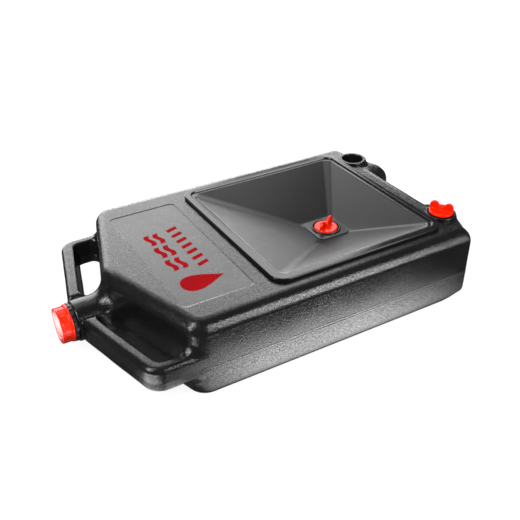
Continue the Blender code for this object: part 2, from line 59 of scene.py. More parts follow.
CAP_LO, CAP_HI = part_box("spout_cap")
LINER_LO, LINER_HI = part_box("spout_cap_liner")
LABEL_LO, LABEL_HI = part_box("label")

HALF_W = TANK_HI.y
REAR_X = TANK_HI.x
TOP_Z = TANK_HI.z
GAP = 0.0003
WALL = 0.003
PAN_X = (PAN_LO.x + PAN_HI.x) / 2
PAN_HALF_X = (PAN_HI.x - PAN_LO.x) / 2
PAN_HALF_Y = PAN_HI.y
RIM_Z = PAN_HI.z
SUMP_X = (DRAIN_LO.x + DRAIN_HI.x) / 2
SUMP_Z = PAN_LO.z + 0.003
PORT_X = (VENT_LO.x + VENT_HI.x) / 2
PORT_Y = (SOCKET_LO.y + SOCKET_HI.y) / 2
COLLAR_R = (VENT_HI.x - VENT_LO.x) / 2
COLLAR_Z = VENT_HI.z
NECK_Z = (CAP_LO.z + CAP_HI.z) / 2
LIP_X = TANK_LO.x
CAP_BACK_X = CAP_HI.x
CAP_FACE_X = CAP_LO.x
LABEL_X = (LABEL_LO.x + LABEL_HI.x) / 2
LABEL_HALF_X = (LABEL_HI.x - LABEL_LO.x) / 2

# ---------------------------------------------------------------- tank shape
PARTING_Z = 0.052
TOP_FILLET = 0.020
FOOT_FILLET = 0.007
REAR_FOOT = 0.019           # the foot is rounded by this much more at the rear
FOOT_LEAN = 0.0045          # the walls lean in by this much at the floor
HEAD_LEAN = 0.0010          # and by this much at the top
FRONT_LEAN = 1.8            # the front walls lean this much more
NOSE_X = PAN_X - 0.363
NOSE_SLOPE = 0.318
VALLEY_X = PAN_X + 0.1955
VALLEY_Y = 0.034
REAR_SIDE_X = PAN_X + 0.1917
LOBE_Y = 0.087
LOBE_HALF = 0.0107
CREASE_X = VALLEY_X - TOP_FILLET + 0.001
CREASE_FALL = 0.20          # the slope just behind the crease
DECK_CREASE_Z = 0.1232      # the rear deck's height behind the crease, and how it falls away
DECK_FALL = 0.055
DECK_EDGE_R = 0.019
DECK_RIDGE_Y = 0.100
DECK_CROWN_R = 0.085
BOSS_R = 0.0262
NECK_R = 0.031
NECK_END_X = CAP_BACK_X + 0.0067
NECK_FILLET = 0.020
HANDLE_FILLET = 0.016       # where a handle runs into the hull's corner
HANDLE_INNER_FILLET = 0.004  # and where it meets the neck
HANDLE_INNER_Y = 0.0285     # the handles end this far from the middle
HANDLE_LOW_Z = 0.039
HANDLE_HIGH_Z = 0.080
HANDLE_NOSE_X = NOSE_X - 0.0525
HANDLE_SLOPE = 0.258
HOLE_NOSE_X = NOSE_X - 0.0340
HOLE_SLOPE = 0.262
HOLE_BACK_X = NOSE_X + 0.018
HOLE_INNER_Y = 0.030
HOLE_OUTER_Y = 0.173
HOLE_DRAFT = 0.0075
RIDGE_HEIGHT = 0.00045      # flash along the parting line
REAR_RIDGE_HEIGHT = 0.00042
RIDGE_WIDTH = 0.00060
NECK_BORE_R = 0.0205
NECK_BORE = (0.20, 0.345)   # how far forward of the origin the bore starts and ends
NECK_ROOT = 0.285           # and where the neck's finish starts

LABEL_CORNER = 0.010
LABEL_SUNK = 0.0007         # the film lies this far below the top
LABEL_LIP = 0.0023          # width of the slope that leads down to it
LABEL_DEPTH = 0.0014        # depth of the recess
HAIR = 0.00002              # keeps two surfaces from lying in one plane
FINE = 0.0018               # mesh step on curved parts of the tank
COARSE = 0.0040             # and along its straight middle

# ---------------------------------------------------------------- pan, bushes, plugs and cap
SUMP_HALF = 0.0325
SUMP_CORNER_R = 0.007
LEDGE_INSET = 0.0160
LEDGE_CORNER_R = 0.0130
BORE_R = 0.0184
THREAD_ROOT_R = BORE_R + 0.0006
BARREL_R = 0.0212
COUNTERBORE_R = 0.0223
PLATE_CORNER_R = 0.0100
THREAD_PITCH = 0.004
THREAD_HEIGHT = 0.0008
PLUG_R = 0.020
PLUG_HEAD = 0.004
SHANK_R = 0.0176
SHANK_LENGTH = 0.0185
WING_THICK = 0.0046
WING_HEIGHT = 0.014
EAR_R = 0.0078
EAR_OUT = 0.0120
DRAIN_TURN = math.radians(26.0)
VENT_TURN = math.radians(119.5)
CAP_R = 0.0272
CAP_FLANGE_R = 0.0286
CAP_RIBS = 15
CAP_PANEL_DEPTH = 0.0010
CAP_PITCH = 0.005
CAP_GRIP_LOW = 0.0040       # the ribs start this far from the cap's back
CAP_GRIP_HIGH = 0.0030      # and end this far from its face
CAP_FACE_THICK = 0.0028
SKIRT_R = 0.0253


# ================================================================ mesh tools
def new_object(name, mesh, *materials):
    made = bpy.data.objects.new(name, mesh)
    bpy.context.scene.collection.objects.link(made)
    for paint in materials:
        mesh.materials.append(paint)
    return made


def shade(mesh, sharp_degrees=38.0):
    mesh.shade_smooth()
    mesh.set_sharp_from_angle(angle=math.radians(sharp_degrees))


def mesh_from(name, verts, faces, sharp_degrees=38.0):
    mesh = bpy.data.meshes.new(name)
    mesh.from_pydata([tuple(v) for v in verts], [], [tuple(f) for f in faces])
    mesh.update()
    shade(mesh, sharp_degrees)
    return mesh


def quads_mesh(name, verts, quads, sharp_degrees=38.0):
    """A mesh from numpy arrays of points and quads."""
    mesh = bpy.data.meshes.new(name)
    mesh.vertices.add(len(verts))
    mesh.vertices.foreach_set("co", np.ascontiguousarray(verts, np.float32).ravel())
    mesh.loops.add(quads.size)
    mesh.loops.foreach_set("vertex_index", np.ascontiguousarray(quads, np.int32).ravel())
    mesh.polygons.add(len(quads))
    mesh.polygons.foreach_set("loop_start", np.arange(0, quads.size, 4, dtype=np.int32))
    mesh.update(calc_edges=True)
    mesh.validate()
    shade(mesh, sharp_degrees)
    return mesh


def boolean(target, tool, operation):
    step = target.modifiers.new(tool.name, "BOOLEAN")
    step.operation = operation
    step.solver = "MANIFOLD"
    step.object = tool


def apply_modifiers(target, tools=(), sharp_degrees=38.0):
    """Keep the evaluated mesh and remove the tools that shaped it."""
    graph = bpy.context.evaluated_depsgraph_get()
    done = bpy.data.meshes.new_from_object(target.evaluated_get(graph))
    target.modifiers.clear()
    target.data = done
    shade(done, sharp_degrees)
    for tool in tools:
        bpy.data.objects.remove(tool, do_unlink=True)


def mount(piece, body, slot, *nodes):
    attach(piece, body)
    if nodes:
        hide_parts(*nodes)
    return piece


# ---------------------------------------------------------------- outlines
def cross(a, b):
    return a.x * b.y - a.y * b.x


def moved_in(corners, insets):
    """Move each edge of a counter-clockwise polygon inward by its own inset."""
    count = len(corners)
    moved = []
    for i in range(count):
        before = (corners[i] - corners[i - 1]).normalized()
        after = (corners[(i + 1) % count] - corners[i]).normalized()
        point_a = corners[i] + Vector((-before.y, before.x)) * insets[i - 1]
        point_b = corners[i] + Vector((-after.y, after.x)) * insets[i]
        along = cross(point_b - point_a, after) / cross(before, after)
        moved.append(point_a + before * along)
    return moved


def round_corners(corners, radii, steps):
    count = len(corners)
    points = []
    for i in range(count):
        corner = corners[i]
        back = (corners[i - 1] - corner).normalized()
        ahead = (corners[(i + 1) % count] - corner).normalized()
        half_angle = back.angle(ahead) / 2
        centre = corner + (back + ahead).normalized() * (radii[i] / math.sin(half_angle))
        start = corner + back * (radii[i] / math.tan(half_angle)) - centre
        end = corner + ahead * (radii[i] / math.tan(half_angle)) - centre
        sweep = math.atan2(cross(start, end), start.dot(end))
        for k in range(steps + 1):
            points.append(centre + Matrix.Rotation(sweep * k / steps, 2) @ start)
    return points


def outline(corners, radii, leans=None, draft=0.0, steps=14):
    vectors = [Vector(c) for c in corners]
    if leans:
        vectors = moved_in(vectors, [draft * lean for lean in leans])
    return round_corners(vectors, radii, steps)


def rounded_rectangle(x, y, half_x, half_y, radius, steps=12):
    signs = ((1, -1), (1, 1), (-1, 1), (-1, -1))
    corners = [Vector((x + sx * half_x, y + sy * half_y)) for sx, sy in signs]
    return round_corners(corners, [radius] * 4, steps)


def mirrored(half):
    """Close a half outline, listed from the nose round -Y to the rear, with its mirror image."""
    return half + [(x, -y) for x, y in reversed(half) if y != 0.0]


def soften(levels, reach, steps=4, closed=True):
    """Round the corners of a path in any number of dimensions; reach is one value or one per corner."""
    points = [np.array(level, float) for level in levels]
    count = len(points)
    reaches = [reach] * count if isinstance(reach, float) else reach
    out = []
    for i, corner in enumerate(points):
        if reaches[i] <= 0.0 or (not closed and i in (0, count - 1)):
            out.append(tuple(corner))
            continue
        back = points[i - 1] - corner
        ahead = points[(i + 1) % count] - corner
        start = corner + back * min(reaches[i] / np.linalg.norm(back), 0.48)
        end = corner + ahead * min(reaches[i] / np.linalg.norm(ahead), 0.48)
        for k in range(steps + 1):
            t = k / steps
            out.append(tuple(start * (1 - t) ** 2 + corner * (2 * t * (1 - t)) + end * t * t))
    return out


# ---------------------------------------------------------------- turned and lofted pieces
def ring_faces(first, second, count):
    faces = []
    for k in range(count):
        n = (k + 1) % count
        faces.append((first + k, first + n, second + n, second + k))
    return faces


def turned(name, profile, segments=96, radius_at=None, sharp_degrees=50.0):
    """Turn a closed (radius, z) profile about Z; radius 0 is a point on the axis."""
    verts = []
    starts = []
    for radius, z in profile:
        starts.append(len(verts))
        if radius < 1e-7:
            verts.append((0.0, 0.0, z))
            continue
        for k in range(segments):
            angle = 2 * math.pi * k / segments
            r = radius if radius_at is None else radius_at(radius, z, angle)
            verts.append((r * math.cos(angle), r * math.sin(angle), z))
    faces = []
    count = len(profile)
    for i in range(count):
        j = (i + 1) % count
        a, b = starts[i], starts[j]
        a_point, b_point = profile[i][0] < 1e-7, profile[j][0] < 1e-7
        if a_point and b_point:
            continue
        if a_point:
            faces.extend((a, b + (k + 1) % segments, b + k) for k in range(segments))
        elif b_point:
            faces.extend((a + k, a + (k + 1) % segments, b) for k in range(segments))
        else:
            faces.extend(ring_faces(a, b, segments))
    mesh = mesh_from(name, verts, faces, sharp_degrees)
    outward(mesh)
    return mesh


def outward(mesh):
    bm = bmesh.new()
    bm.from_mesh(mesh)
    bmesh.ops.recalc_face_normals(bm, faces=bm.faces)
    bm.to_mesh(mesh)
    bm.free()


def loft(name, rings, closed=True, sharp_degrees=40.0):
    """Join rings of equal point counts: a tube that ends where it began, or a capped solid."""
    count = len(rings[0])
    verts = [point for ring in rings for point in ring]
    faces = []
    pairs = len(rings) if closed else len(rings) - 1
    for i in range(pairs):
        faces.extend(ring_faces(i * count, ((i + 1) % len(rings)) * count, count))
    if not closed:
        faces.append(tuple(range(count)))
        faces.append(tuple(range((len(rings) - 1) * count, len(rings) * count)))
    mesh = mesh_from(name, verts, faces, sharp_degrees)
    outward(mesh)
    return mesh


def at_height(points, z):
    return [(p.x, p.y, z) for p in points]


def along_neck(x=0.0):
    """Lays a piece turned about Z along the neck, +Z pointing forward, its z = 0 at x."""
    return Matrix.Translation((x, 0.0, NECK_Z)) @ Matrix.Rotation(-math.pi / 2, 4, "Y")


# ================================================================ distance fields
def polygon_distance(points, x, y):
    """Signed distance to a polygon, for arrays of x and y."""
    shape = np.broadcast_shapes(np.shape(x), np.shape(y))
    best = np.full(shape, 1e9, np.float32)
    inside = np.zeros(shape, bool)
    count = len(points)
    for i in range(count):
        a, b = points[i - 1], points[i]
        ex, ey = b.x - a.x, b.y - a.y
        length = ex * ex + ey * ey
        if length < 1e-14:
            continue
        wx, wy = x - a.x, y - a.y
        t = np.clip((wx * ex + wy * ey) / length, 0, 1)
        best = np.minimum(best, (wx - ex * t) ** 2 + (wy - ey * t) ** 2)
        if a.y != b.y:
            spans = (a.y <= y) != (b.y <= y)
            inside ^= spans & (wx < ex * wy / ey)
    return np.where(inside, -1.0, 1.0) * np.sqrt(best)


def upright(flat, z, low, high, foot, head):
    """Distance to an upright solid of that plan, with a rounded foot and head."""
    middle = (low + high) / 2
    return common(flat, np.abs(z - middle) - (high - low) / 2, np.where(z > middle, head, foot))


def joined(a, b, radius):
    """Union with a round fillet in the corner."""
    u = np.maximum(radius - a, 0)
    v = np.maximum(radius - b, 0)
    return np.maximum(radius, np.minimum(a, b)) - np.sqrt(u * u + v * v)


def common(a, b, radius):
    """Intersection with a rounded edge."""
    u = np.maximum(radius + a, 0)
    v = np.maximum(radius + b, 0)
    return np.minimum(-radius, np.maximum(a, b)) + np.sqrt(u * u + v * v)


def smoothstep(low, high, value):
    t = np.clip((value - low) / (high - low), 0, 1)
    return t * t * (3 - 2 * t)


def leaned(shape_at, x, y, z, foot, head):
    """Distance to an outline that is drawn in by foot at the floor and head at the top."""
    middle = polygon_distance(shape_at(0.0), x, y)
    low = polygon_distance(shape_at(foot), x, y)
    high = polygon_distance(shape_at(head), x, y)
    down, up = draft_shares(z)
    return middle + down * (low - middle) + up * (high - middle)


def draft_shares(z):
    """How much of the foot's and the head's lean applies at a height, growing from the parting line."""
    down = np.clip((PARTING_Z - z) / PARTING_Z, 0, 1)
    up = np.clip((z - PARTING_Z) / (TOP_Z - PARTING_Z), 0, 1)
    return down**1.6, up**1.6


def surface_net(field, xs, ys, zs):
    """Points and quads of the surface where a sampled field changes sign, one point to a cell."""
    inside = field < 0
    cells = np.array(field.shape) - 1
    strides = np.array((cells[1] * cells[2], cells[2], 1))
    axes = (xs, ys, zs)
    corner_ids, corner_points, quads = [], [], []
    for axis in range(3):
        near = [slice(None)] * 3
        far = [slice(None)] * 3
        near[axis] = slice(0, -1)
        far[axis] = slice(1, None)
        first, second = inside[tuple(near)], inside[tuple(far)]
        index = np.argwhere(first != second)
        rising = first[tuple(index.T)]
        step = np.zeros(3, int)
        step[axis] = 1
        here = field[tuple(index.T)]
        there = field[tuple((index + step).T)]
        t = here / (here - there)
        point = np.stack([axes[d][index[:, d]] for d in range(3)], axis=1)
        ahead = axes[axis][index[:, axis] + 1]
        point[:, axis] += t * (ahead - point[:, axis])
        u, v = (axis + 1) % 3, (axis + 2) % 3
        around = []
        for du, dv in ((0, 0), (-1, 0), (-1, -1), (0, -1)):
            cell = index.copy()
            cell[:, u] += du
            cell[:, v] += dv
            around.append(cell @ strides)
            corner_ids.append(around[-1])
            corner_points.append(point)
        quad = np.stack(around, axis=1)
        quad[~rising] = quad[~rising][:, ::-1]
        quads.append(quad)
    ids = np.concatenate(corner_ids)
    unique, inverse = np.unique(ids, return_inverse=True)
    inverse = inverse.ravel()
    points = np.concatenate(corner_points)
    total = np.bincount(inverse, minlength=len(unique)).astype(float)
    verts = np.stack([np.bincount(inverse, points[:, d]) / total for d in range(3)], axis=1)
    faces = np.searchsorted(unique, np.concatenate(quads))
    return verts, faces


def gradient_at(field, xs, ys, zs, verts):
    """Unit direction of steepest rise of a sampled field, blended between samples."""
    axes = (xs, ys, zs)
    slopes = np.gradient(field, *axes)
    index, share = [], []
    for d in range(3):
        i = np.clip(np.searchsorted(axes[d], verts[:, d]) - 1, 0, len(axes[d]) - 2)
        index.append(i)
        share.append((verts[:, d] - axes[d][i]) / (axes[d][i + 1] - axes[d][i]))
    result = np.zeros_like(verts)
    for corner in range(8):
        offset = [(corner >> d) & 1 for d in range(3)]
        weight = np.ones(len(verts))
        for d in range(3):
            weight = weight * (share[d] if offset[d] else 1 - share[d])
        at = tuple(index[d] + offset[d] for d in range(3))
        for d in range(3):
            result[:, d] += weight * slopes[d][at]
    length = np.maximum(np.linalg.norm(result, axis=1, keepdims=True), 1e-6)
    return result / length


def field_mesh(name, solid, xs, ys, zs, polish=2, sharp_degrees=38.0):
    """Mesh a distance function, its points drawn onto the true surface."""
    field = solid(xs[:, None, None], ys[None, :, None], zs[None, None, :]).astype(np.float32)
    verts, quads = surface_net(field, xs, ys, zs)
    for _ in range(polish):
        away = gradient_at(field, xs, ys, zs, verts)
        error = solid(verts[:, 0], verts[:, 1], verts[:, 2])
        verts = verts - away * error[:, None]
    return quads_mesh(name, verts, quads, sharp_degrees)


def true_normals(made, solid, limit=0.00004, sharpest_degrees=40.0):
    """Shade the points that lie on a distance function's surface by its own slope there."""
    mesh = made.data
    count = len(mesh.vertices)
    flat = np.empty(count * 3, np.float32)
    mesh.vertices.foreach_get("co", flat)
    points = flat.reshape(-1, 3).astype(float)
    x, y, z = points.T
    step = 0.00012
    slope = np.stack([
        solid(x + step, y, z) - solid(x - step, y, z),
        solid(x, y + step, z) - solid(x, y - step, z),
        solid(x, y, z + step) - solid(x, y, z - step),
    ], axis=1)
    slope /= np.maximum(np.linalg.norm(slope, axis=1, keepdims=True), 1e-9)
    on_surface = np.abs(solid(x, y, z)) < limit

    loops = np.empty(len(mesh.loops), np.int32)
    mesh.loops.foreach_get("vertex_index", loops)
    corners = np.empty(len(mesh.loops) * 3, np.float32)
    mesh.corner_normals.foreach_get("vector", corners)
    corners = corners.reshape(-1, 3)
    wanted = slope[loops]
    agree = np.sum(wanted * corners, axis=1) > math.cos(math.radians(sharpest_degrees))
    use = agree & on_surface[loops]
    corners[use] = wanted[use]
    mesh.normals_split_custom_set(corners.tolist())


def spaced(*spans):
    """Sample places along an axis: (start, end, step) spans, end to end."""
    pieces = []
    for start, end, step in spans:
        count = max(1, round((end - start) / step))
        pieces.append(np.linspace(start, end, count, endpoint=False))
    return np.append(np.concatenate(pieces), spans[-1][1])


# ================================================================ the tank
def hull_plan(draft):
    half = [
        (NOSE_X, 0.0),
        (NOSE_X + NOSE_SLOPE * HALF_W, -HALF_W),
        (REAR_SIDE_X, -HALF_W),
        (VALLEY_X, -HALF_W + 0.020),
    ]
    radii = [0.060, 0.028, 0.020, 0.020, 0.020, 0.020, 0.028]
    leans = [FRONT_LEAN, 1.0, 0.0, 0.0, 0.0, 1.0, FRONT_LEAN]
    return outline(mirrored(half), radii, leans, draft)


def deck_plan():
    half = [
        (REAR_SIDE_X - 0.120, -HALF_W),
        (REAR_SIDE_X, -HALF_W),
        (REAR_X, -LOBE_Y - LOBE_HALF),
        (REAR_X, -LOBE_Y + LOBE_HALF),
        (VALLEY_X, -VALLEY_Y),
    ]
    radii = [0.004, 0.020, 0.018, 0.018, 0.020]
    return outline(mirrored(half), radii + radii[::-1])


def handle_plan(draft):
    outer = [
        (HANDLE_NOSE_X + HANDLE_SLOPE * 0.010, -0.010),
        (HANDLE_NOSE_X + HANDLE_SLOPE * HALF_W, -HALF_W),
        (NOSE_X + 0.090, -HALF_W),
        (NOSE_X + 0.090, -0.150),
        (NOSE_X + 0.030, -0.010),
    ]
    return outline(outer, [0.004, 0.026, 0.004, 0.004, 0.004], [1.0] * 5, draft)


def hole_plan(narrowing):
    hole = [
        (HOLE_NOSE_X + HOLE_SLOPE * HOLE_INNER_Y, -HOLE_INNER_Y),
        (HOLE_NOSE_X + HOLE_SLOPE * HOLE_OUTER_Y, -HOLE_OUTER_Y),
        (HOLE_BACK_X + NOSE_SLOPE * HOLE_OUTER_Y, -HOLE_OUTER_Y),
        (HOLE_BACK_X + NOSE_SLOPE * HOLE_INNER_Y, -HOLE_INNER_Y),
    ]
    return outline(hole, [0.010, 0.014, 0.006, 0.006], [1.0, 1.0, 0.0, 0.0], narrowing)


def handles(x, y, z):
    """Both handles at once, by folding the far side onto the near side."""
    near = -np.abs(y)
    plan = leaned(handle_plan, x, near, z, FOOT_LEAN, HEAD_LEAN)
    band = upright(plan, z, HANDLE_LOW_Z, HANDLE_HIGH_Z, 0.0075, 0.0085)
    band = common(band, near + HANDLE_INNER_Y, 0.008)
    wide = polygon_distance(hole_plan(0.0), x, near)
    tight = polygon_distance(hole_plan(HOLE_DRAFT), x, near)
    share = 1 - np.clip(np.abs(z - PARTING_Z) / (HANDLE_HIGH_Z - PARTING_Z), 0, 1)
    hole = wide + share * (tight - wide)
    return common(band, -hole, 0.0028)


def neck_field(x, y, z):
    around = np.sqrt(y * y + (z - NECK_Z) ** 2)
    return upright(around - NECK_R, x, NECK_END_X, NOSE_X + 0.080, 0.0016, 0.001)


def deck_field(x, y, z):
    """The rear deck: two rounded feet that fall away behind the crease."""
    lateral = np.minimum(np.abs(y) - DECK_RIDGE_Y, 0)
    top = DECK_CREASE_Z - DECK_FALL * np.maximum(x - CREASE_X, 0) - lateral**2 / (2 * DECK_CROWN_R)
    deck = common(polygon_distance(deck_plan(), x, y), z - top, DECK_EDGE_R)
    return common(deck, -z, foot_fillet(x))


def foot_fillet(x):
    return FOOT_FILLET + REAR_FOOT * smoothstep(REAR_X - 0.085, REAR_X - 0.020, x)


def parting_ridges(x, y, z):
    """Fine flash left where the mould halves meet, drawn out into more lines at the rear and handles."""

    def line(height, offset):
        return height * np.exp(-(((z - PARTING_Z - offset) / RIDGE_WIDTH) ** 2))

    at_rear = smoothstep(-0.12, 0.06, x)
    at_handles = smoothstep(NOSE_X + 0.100, NOSE_X + 0.060, x)
    flash = line(RIDGE_HEIGHT, 0.0) + line(REAR_RIDGE_HEIGHT * at_rear, -0.0046)
    for offset in (-0.0076, -0.0050, -0.0025, 0.0027):
        flash = flash + line(RIDGE_HEIGHT * at_handles, offset)
    return flash


def unevenness(x, y, z):
    """The slow swell of a blow-moulded wall; nothing on the flat top or the base."""
    swell = 0.0
    waves = ((61, 23, 37, 0.4), (-38, 71, 52, 1.9), (97, -31, 83, 3.1), (44, 118, -60, 5.0))
    for kx, ky, kz, phase in waves:
        swell = swell + np.sin(kx * x + ky * y + kz * z + phase)
    return 0.00007 * swell * smoothstep(0.0, 0.012, z) * smoothstep(TOP_Z, TOP_Z - 0.006, z)


def hull_field(x, y, z):
    plan = leaned(hull_plan, x, y, z, FOOT_LEAN, HEAD_LEAN)
    hull = upright(plan, z, 0.0, TOP_Z, foot_fillet(x), TOP_FILLET)
    hull = common(hull, z - TOP_Z + CREASE_FALL * (x - CREASE_X), 0.0006)
    hull = joined(hull, deck_field(x, y, z), 0.006)
    for side in (-1, 1):
        pad = np.hypot(x - PORT_X, y - side * PORT_Y) - BOSS_R
        hull = joined(hull, upright(pad, z, TOP_Z - 0.030, TOP_Z, 0.001, 0.0012), 0.005)
    return joined(hull, neck_field(x, y, z), NECK_FILLET)


def tank_field(x, y, z):
    hull = hull_field(x, y, z)
    grips = handles(x, y, z)
    outward_share = smoothstep(0.045, 0.110, np.abs(y))
    fillet = HANDLE_INNER_FILLET + (HANDLE_FILLET - HANDLE_INNER_FILLET) * outward_share
    down, up = draft_shares(z)
    side = np.abs(y) - (HALF_W - FOOT_LEAN * down - HEAD_LEAN * up)
    sides = upright(side, z, 0.0, TOP_Z, foot_fillet(x), TOP_FILLET)
    flared = common(joined(hull, grips, fillet), sides, 0.008)
    body = np.minimum(flared, np.maximum(np.minimum(hull, grips), sides))
    return body - parting_ridges(x, y, z) - unevenness(x, y, z)


def tank_axes(fine, coarse):
    front, rear = LIP_X - 0.004, REAR_X + 0.004
    xs = spaced((front, -0.160, fine), (-0.160, 0.250, coarse), (0.250, rear, fine))
    side = spaced((0.0, 0.150, fine * 1.4), (0.150, HALF_W + 0.004, fine))
    ys = np.append(-side[:0:-1], side)
    zs = spaced(
        (-0.0035, 0.009, fine),
        (0.009, 0.0425, fine * 1.7),
        (0.0425, 0.0565, fine / 4),
        (0.0565, 0.070, fine * 1.2),
        (0.070, TOP_Z + 0.004, fine),
    )
    return xs, ys, zs


def is_radius(radius, wanted):
    return abs(radius - wanted) < 1e-6


def neck_finish():
    """The neck's end: groove, ring with ratchet bumps, threaded spout, and the bore through it."""
    cap_back, lip = -CAP_BACK_X, -LIP_X
    ring_r, groove_r, thread_r = 0.0285, 0.0268, 0.0230
    ring_back = cap_back - 0.0045
    start = cap_back + 0.0004
    profile = [
        (NECK_BORE_R, NECK_ROOT),
        (groove_r, NECK_ROOT),
        (groove_r, ring_back - 0.0004),
        (ring_r, ring_back),
        (ring_r, cap_back - 0.0007),
        (ring_r - 0.0006, cap_back - GAP),
    ]
    steps = 60
    for k in range(steps + 1):
        profile.append((thread_r, start + (lip - 0.0010 - start) * k / steps))
    profile += [(thread_r - 0.0010, lip), (NECK_BORE_R + 0.0006, lip), (NECK_BORE_R, lip - 0.0006)]

    def radius_at(radius, z, angle):
        if is_radius(radius, ring_r):
            return radius + 0.0008 * smooth_bump(math.cos(24 * angle))
        if is_radius(radius, thread_r):
            return radius + thread_height(z, angle, start + 0.0006, lip - 0.0012, CAP_PITCH, 0.0011)
        return radius

    made = new_object("neck_finish", turned("neck_finish", profile, 144, radius_at, 45.0))
    made.matrix_world = along_neck()
    return made


def smooth_bump(wave):
    return min(max(wave * 1.6, 0.0), 1.0)


def thread_height(z, angle, low, high, pitch, height):
    """Height of a right-hand thread at a place on its cylinder, fading out at both ends."""
    turn = (z - low) / pitch - angle / (2 * math.pi)
    wave = math.cos(2 * math.pi * turn)
    fade = min(max((z - low) / 0.001, 0.0), 1.0) * min(max((high - z) / 0.001, 0.0), 1.0)
    return height * fade * min(max(wave * 1.8 + 0.1, 0.0), 1.0)


def prism(name, points, low, high, sharp_degrees=40.0):
    """An upright solid of that outline."""
    rings = [at_height(points, low), at_height(points, high)]
    return loft(name, rings, closed=False, sharp_degrees=sharp_degrees)


def tank_cutters():
    """Tools for the pan's opening, the label's recess, the two ports and the neck's bore."""
    inset, below = 0.0103, TOP_Z - 0.019
    port_r = BARREL_R + GAP
    opening = rounded_rectangle(PAN_X, 0.0, PAN_HALF_X - inset, PAN_HALF_Y - inset, 0.0127)
    recess = rounded_rectangle(LABEL_X, 0.0, LABEL_HALF_X, LABEL_HI.y, LABEL_CORNER)
    cuts = [("cut_pan", opening, below), ("cut_label", recess, TOP_Z - LABEL_DEPTH)]
    for side, place in ((1, "far"), (-1, "near")):
        port = rounded_rectangle(PORT_X, side * PORT_Y, port_r, port_r, port_r)
        cuts.append(("cut_port_" + place, port, below))
    cutters = [new_object(name, prism(name, points, low, TOP_Z + 0.010)) for name, points, low in cuts]
    inner, outer = NECK_BORE
    profile = [(0.0, inner), (NECK_BORE_R, inner), (NECK_BORE_R, outer), (0.0, outer)]
    bore = new_object("cut_bore", turned("cut_bore", profile, 144))
    bore.matrix_world = along_neck()
    return cutters + [bore]


def build_tank(paint):
    tank = new_object("tank_shell", field_mesh("tank_shell", tank_field, *tank_axes(FINE, COARSE)))

    def hollow_field(x, y, z):
        return tank_field(x, y, z) + WALL

    loose = tank_axes(FINE * 2.6, COARSE * 2.0)
    hollow = new_object("cut_hollow", field_mesh("cut_hollow", hollow_field, *loose, polish=1))
    finish = neck_finish()
    tools = [hollow] + tank_cutters()
    boolean(tank, finish, "UNION")
    for tool in tools:
        boolean(tank, tool, "DIFFERENCE")
    apply_modifiers(tank, [finish] + tools)
    true_normals(tank, tank_field)
    tank.data.materials.clear()
    tank.data.materials.append(paint)
    return mount(tank, "tank", "tank_black", "tank_body")


# ================================================================ the funnel pan
def pan_ring(level):
    x, half_x, half_y, radius, z = level
    return at_height(rounded_rectangle(x, 0.0, half_x, half_y, radius, 14), z)


def rim_level(inset, z, radius=None):
    if radius is None:
        radius = max(0.023 - inset, 0.0145)
    return (PAN_X, PAN_HALF_X - inset, PAN_HALF_Y - inset, radius, z)


def sump_level(half, radius, z):
    return (SUMP_X, half, half, radius, z)


def build_pan(paint):
    """One path of rounded squares: round the rim, down the funnel, and back up underneath."""
    under = RIM_Z - 0.0037
    ledge = RIM_Z - 0.0030
    hole = 0.0238 + GAP
    thick = 0.003
    levels = [
        (rim_level(0.0, under), 0.0006),
        (rim_level(0.0, RIM_Z), 0.0022),
        (rim_level(0.0052, RIM_Z - 0.0001), 0.0020),
        (rim_level(0.0104, RIM_Z), 0.0012),
        (rim_level(0.0112, ledge), 0.0010),
        (rim_level(LEDGE_INSET, ledge, LEDGE_CORNER_R), 0.0020),
        (sump_level(SUMP_HALF, SUMP_CORNER_R, SUMP_Z), 0.0040),
        (sump_level(hole, hole, SUMP_Z), 0.0004),
        (sump_level(hole, hole, SUMP_Z - thick), 0.0004),
        (sump_level(SUMP_HALF, SUMP_CORNER_R, SUMP_Z - thick), 0.0020),
        (rim_level(LEDGE_INSET, ledge - 0.0012 - thick, LEDGE_CORNER_R), 0.0010),
        (rim_level(0.0113, ledge - thick + 0.0004), 0.0006),
        (rim_level(0.0113, under), 0.0004),
    ]
    path = soften(*zip(*levels), 5)
    pan = new_object("funnel_pan", loft("funnel_pan", [pan_ring(level) for level in path]), paint)
    return mount(pan, "tank", "pan_black", "drain_pan")


def build_pan_seal(paint):
    low, high = SEAL_LO.z, SEAL_HI.z
    corners = ((0.0005, low), (0.0005, high), (0.0096, high), (0.0096, low))
    path = soften([rim_level(inset, z) for inset, z in corners], 0.0005, 4)
    seal = new_object("pan_gasket", loft("pan_gasket", [pan_ring(level) for level in path]), paint)
    return mount(seal, "tank", "rubber", "pan_seal")


# ================================================================ bushes and socket
def threaded_bore(bottom, top):
    """Profile points down a bore that radius_at turns into a thread."""
    steps = 56
    points = [(THREAD_ROOT_R, bottom + (top - bottom) * k / steps) for k in range(steps + 1)]
    return points[::-1]


def bush_thread(bottom, top):
    def radius_at(radius, z, angle):
        if not is_radius(radius, THREAD_ROOT_R):
            return radius
        return radius - thread_height(z, angle, bottom + 0.001, top - 0.001, THREAD_PITCH, THREAD_HEIGHT)

    return radius_at


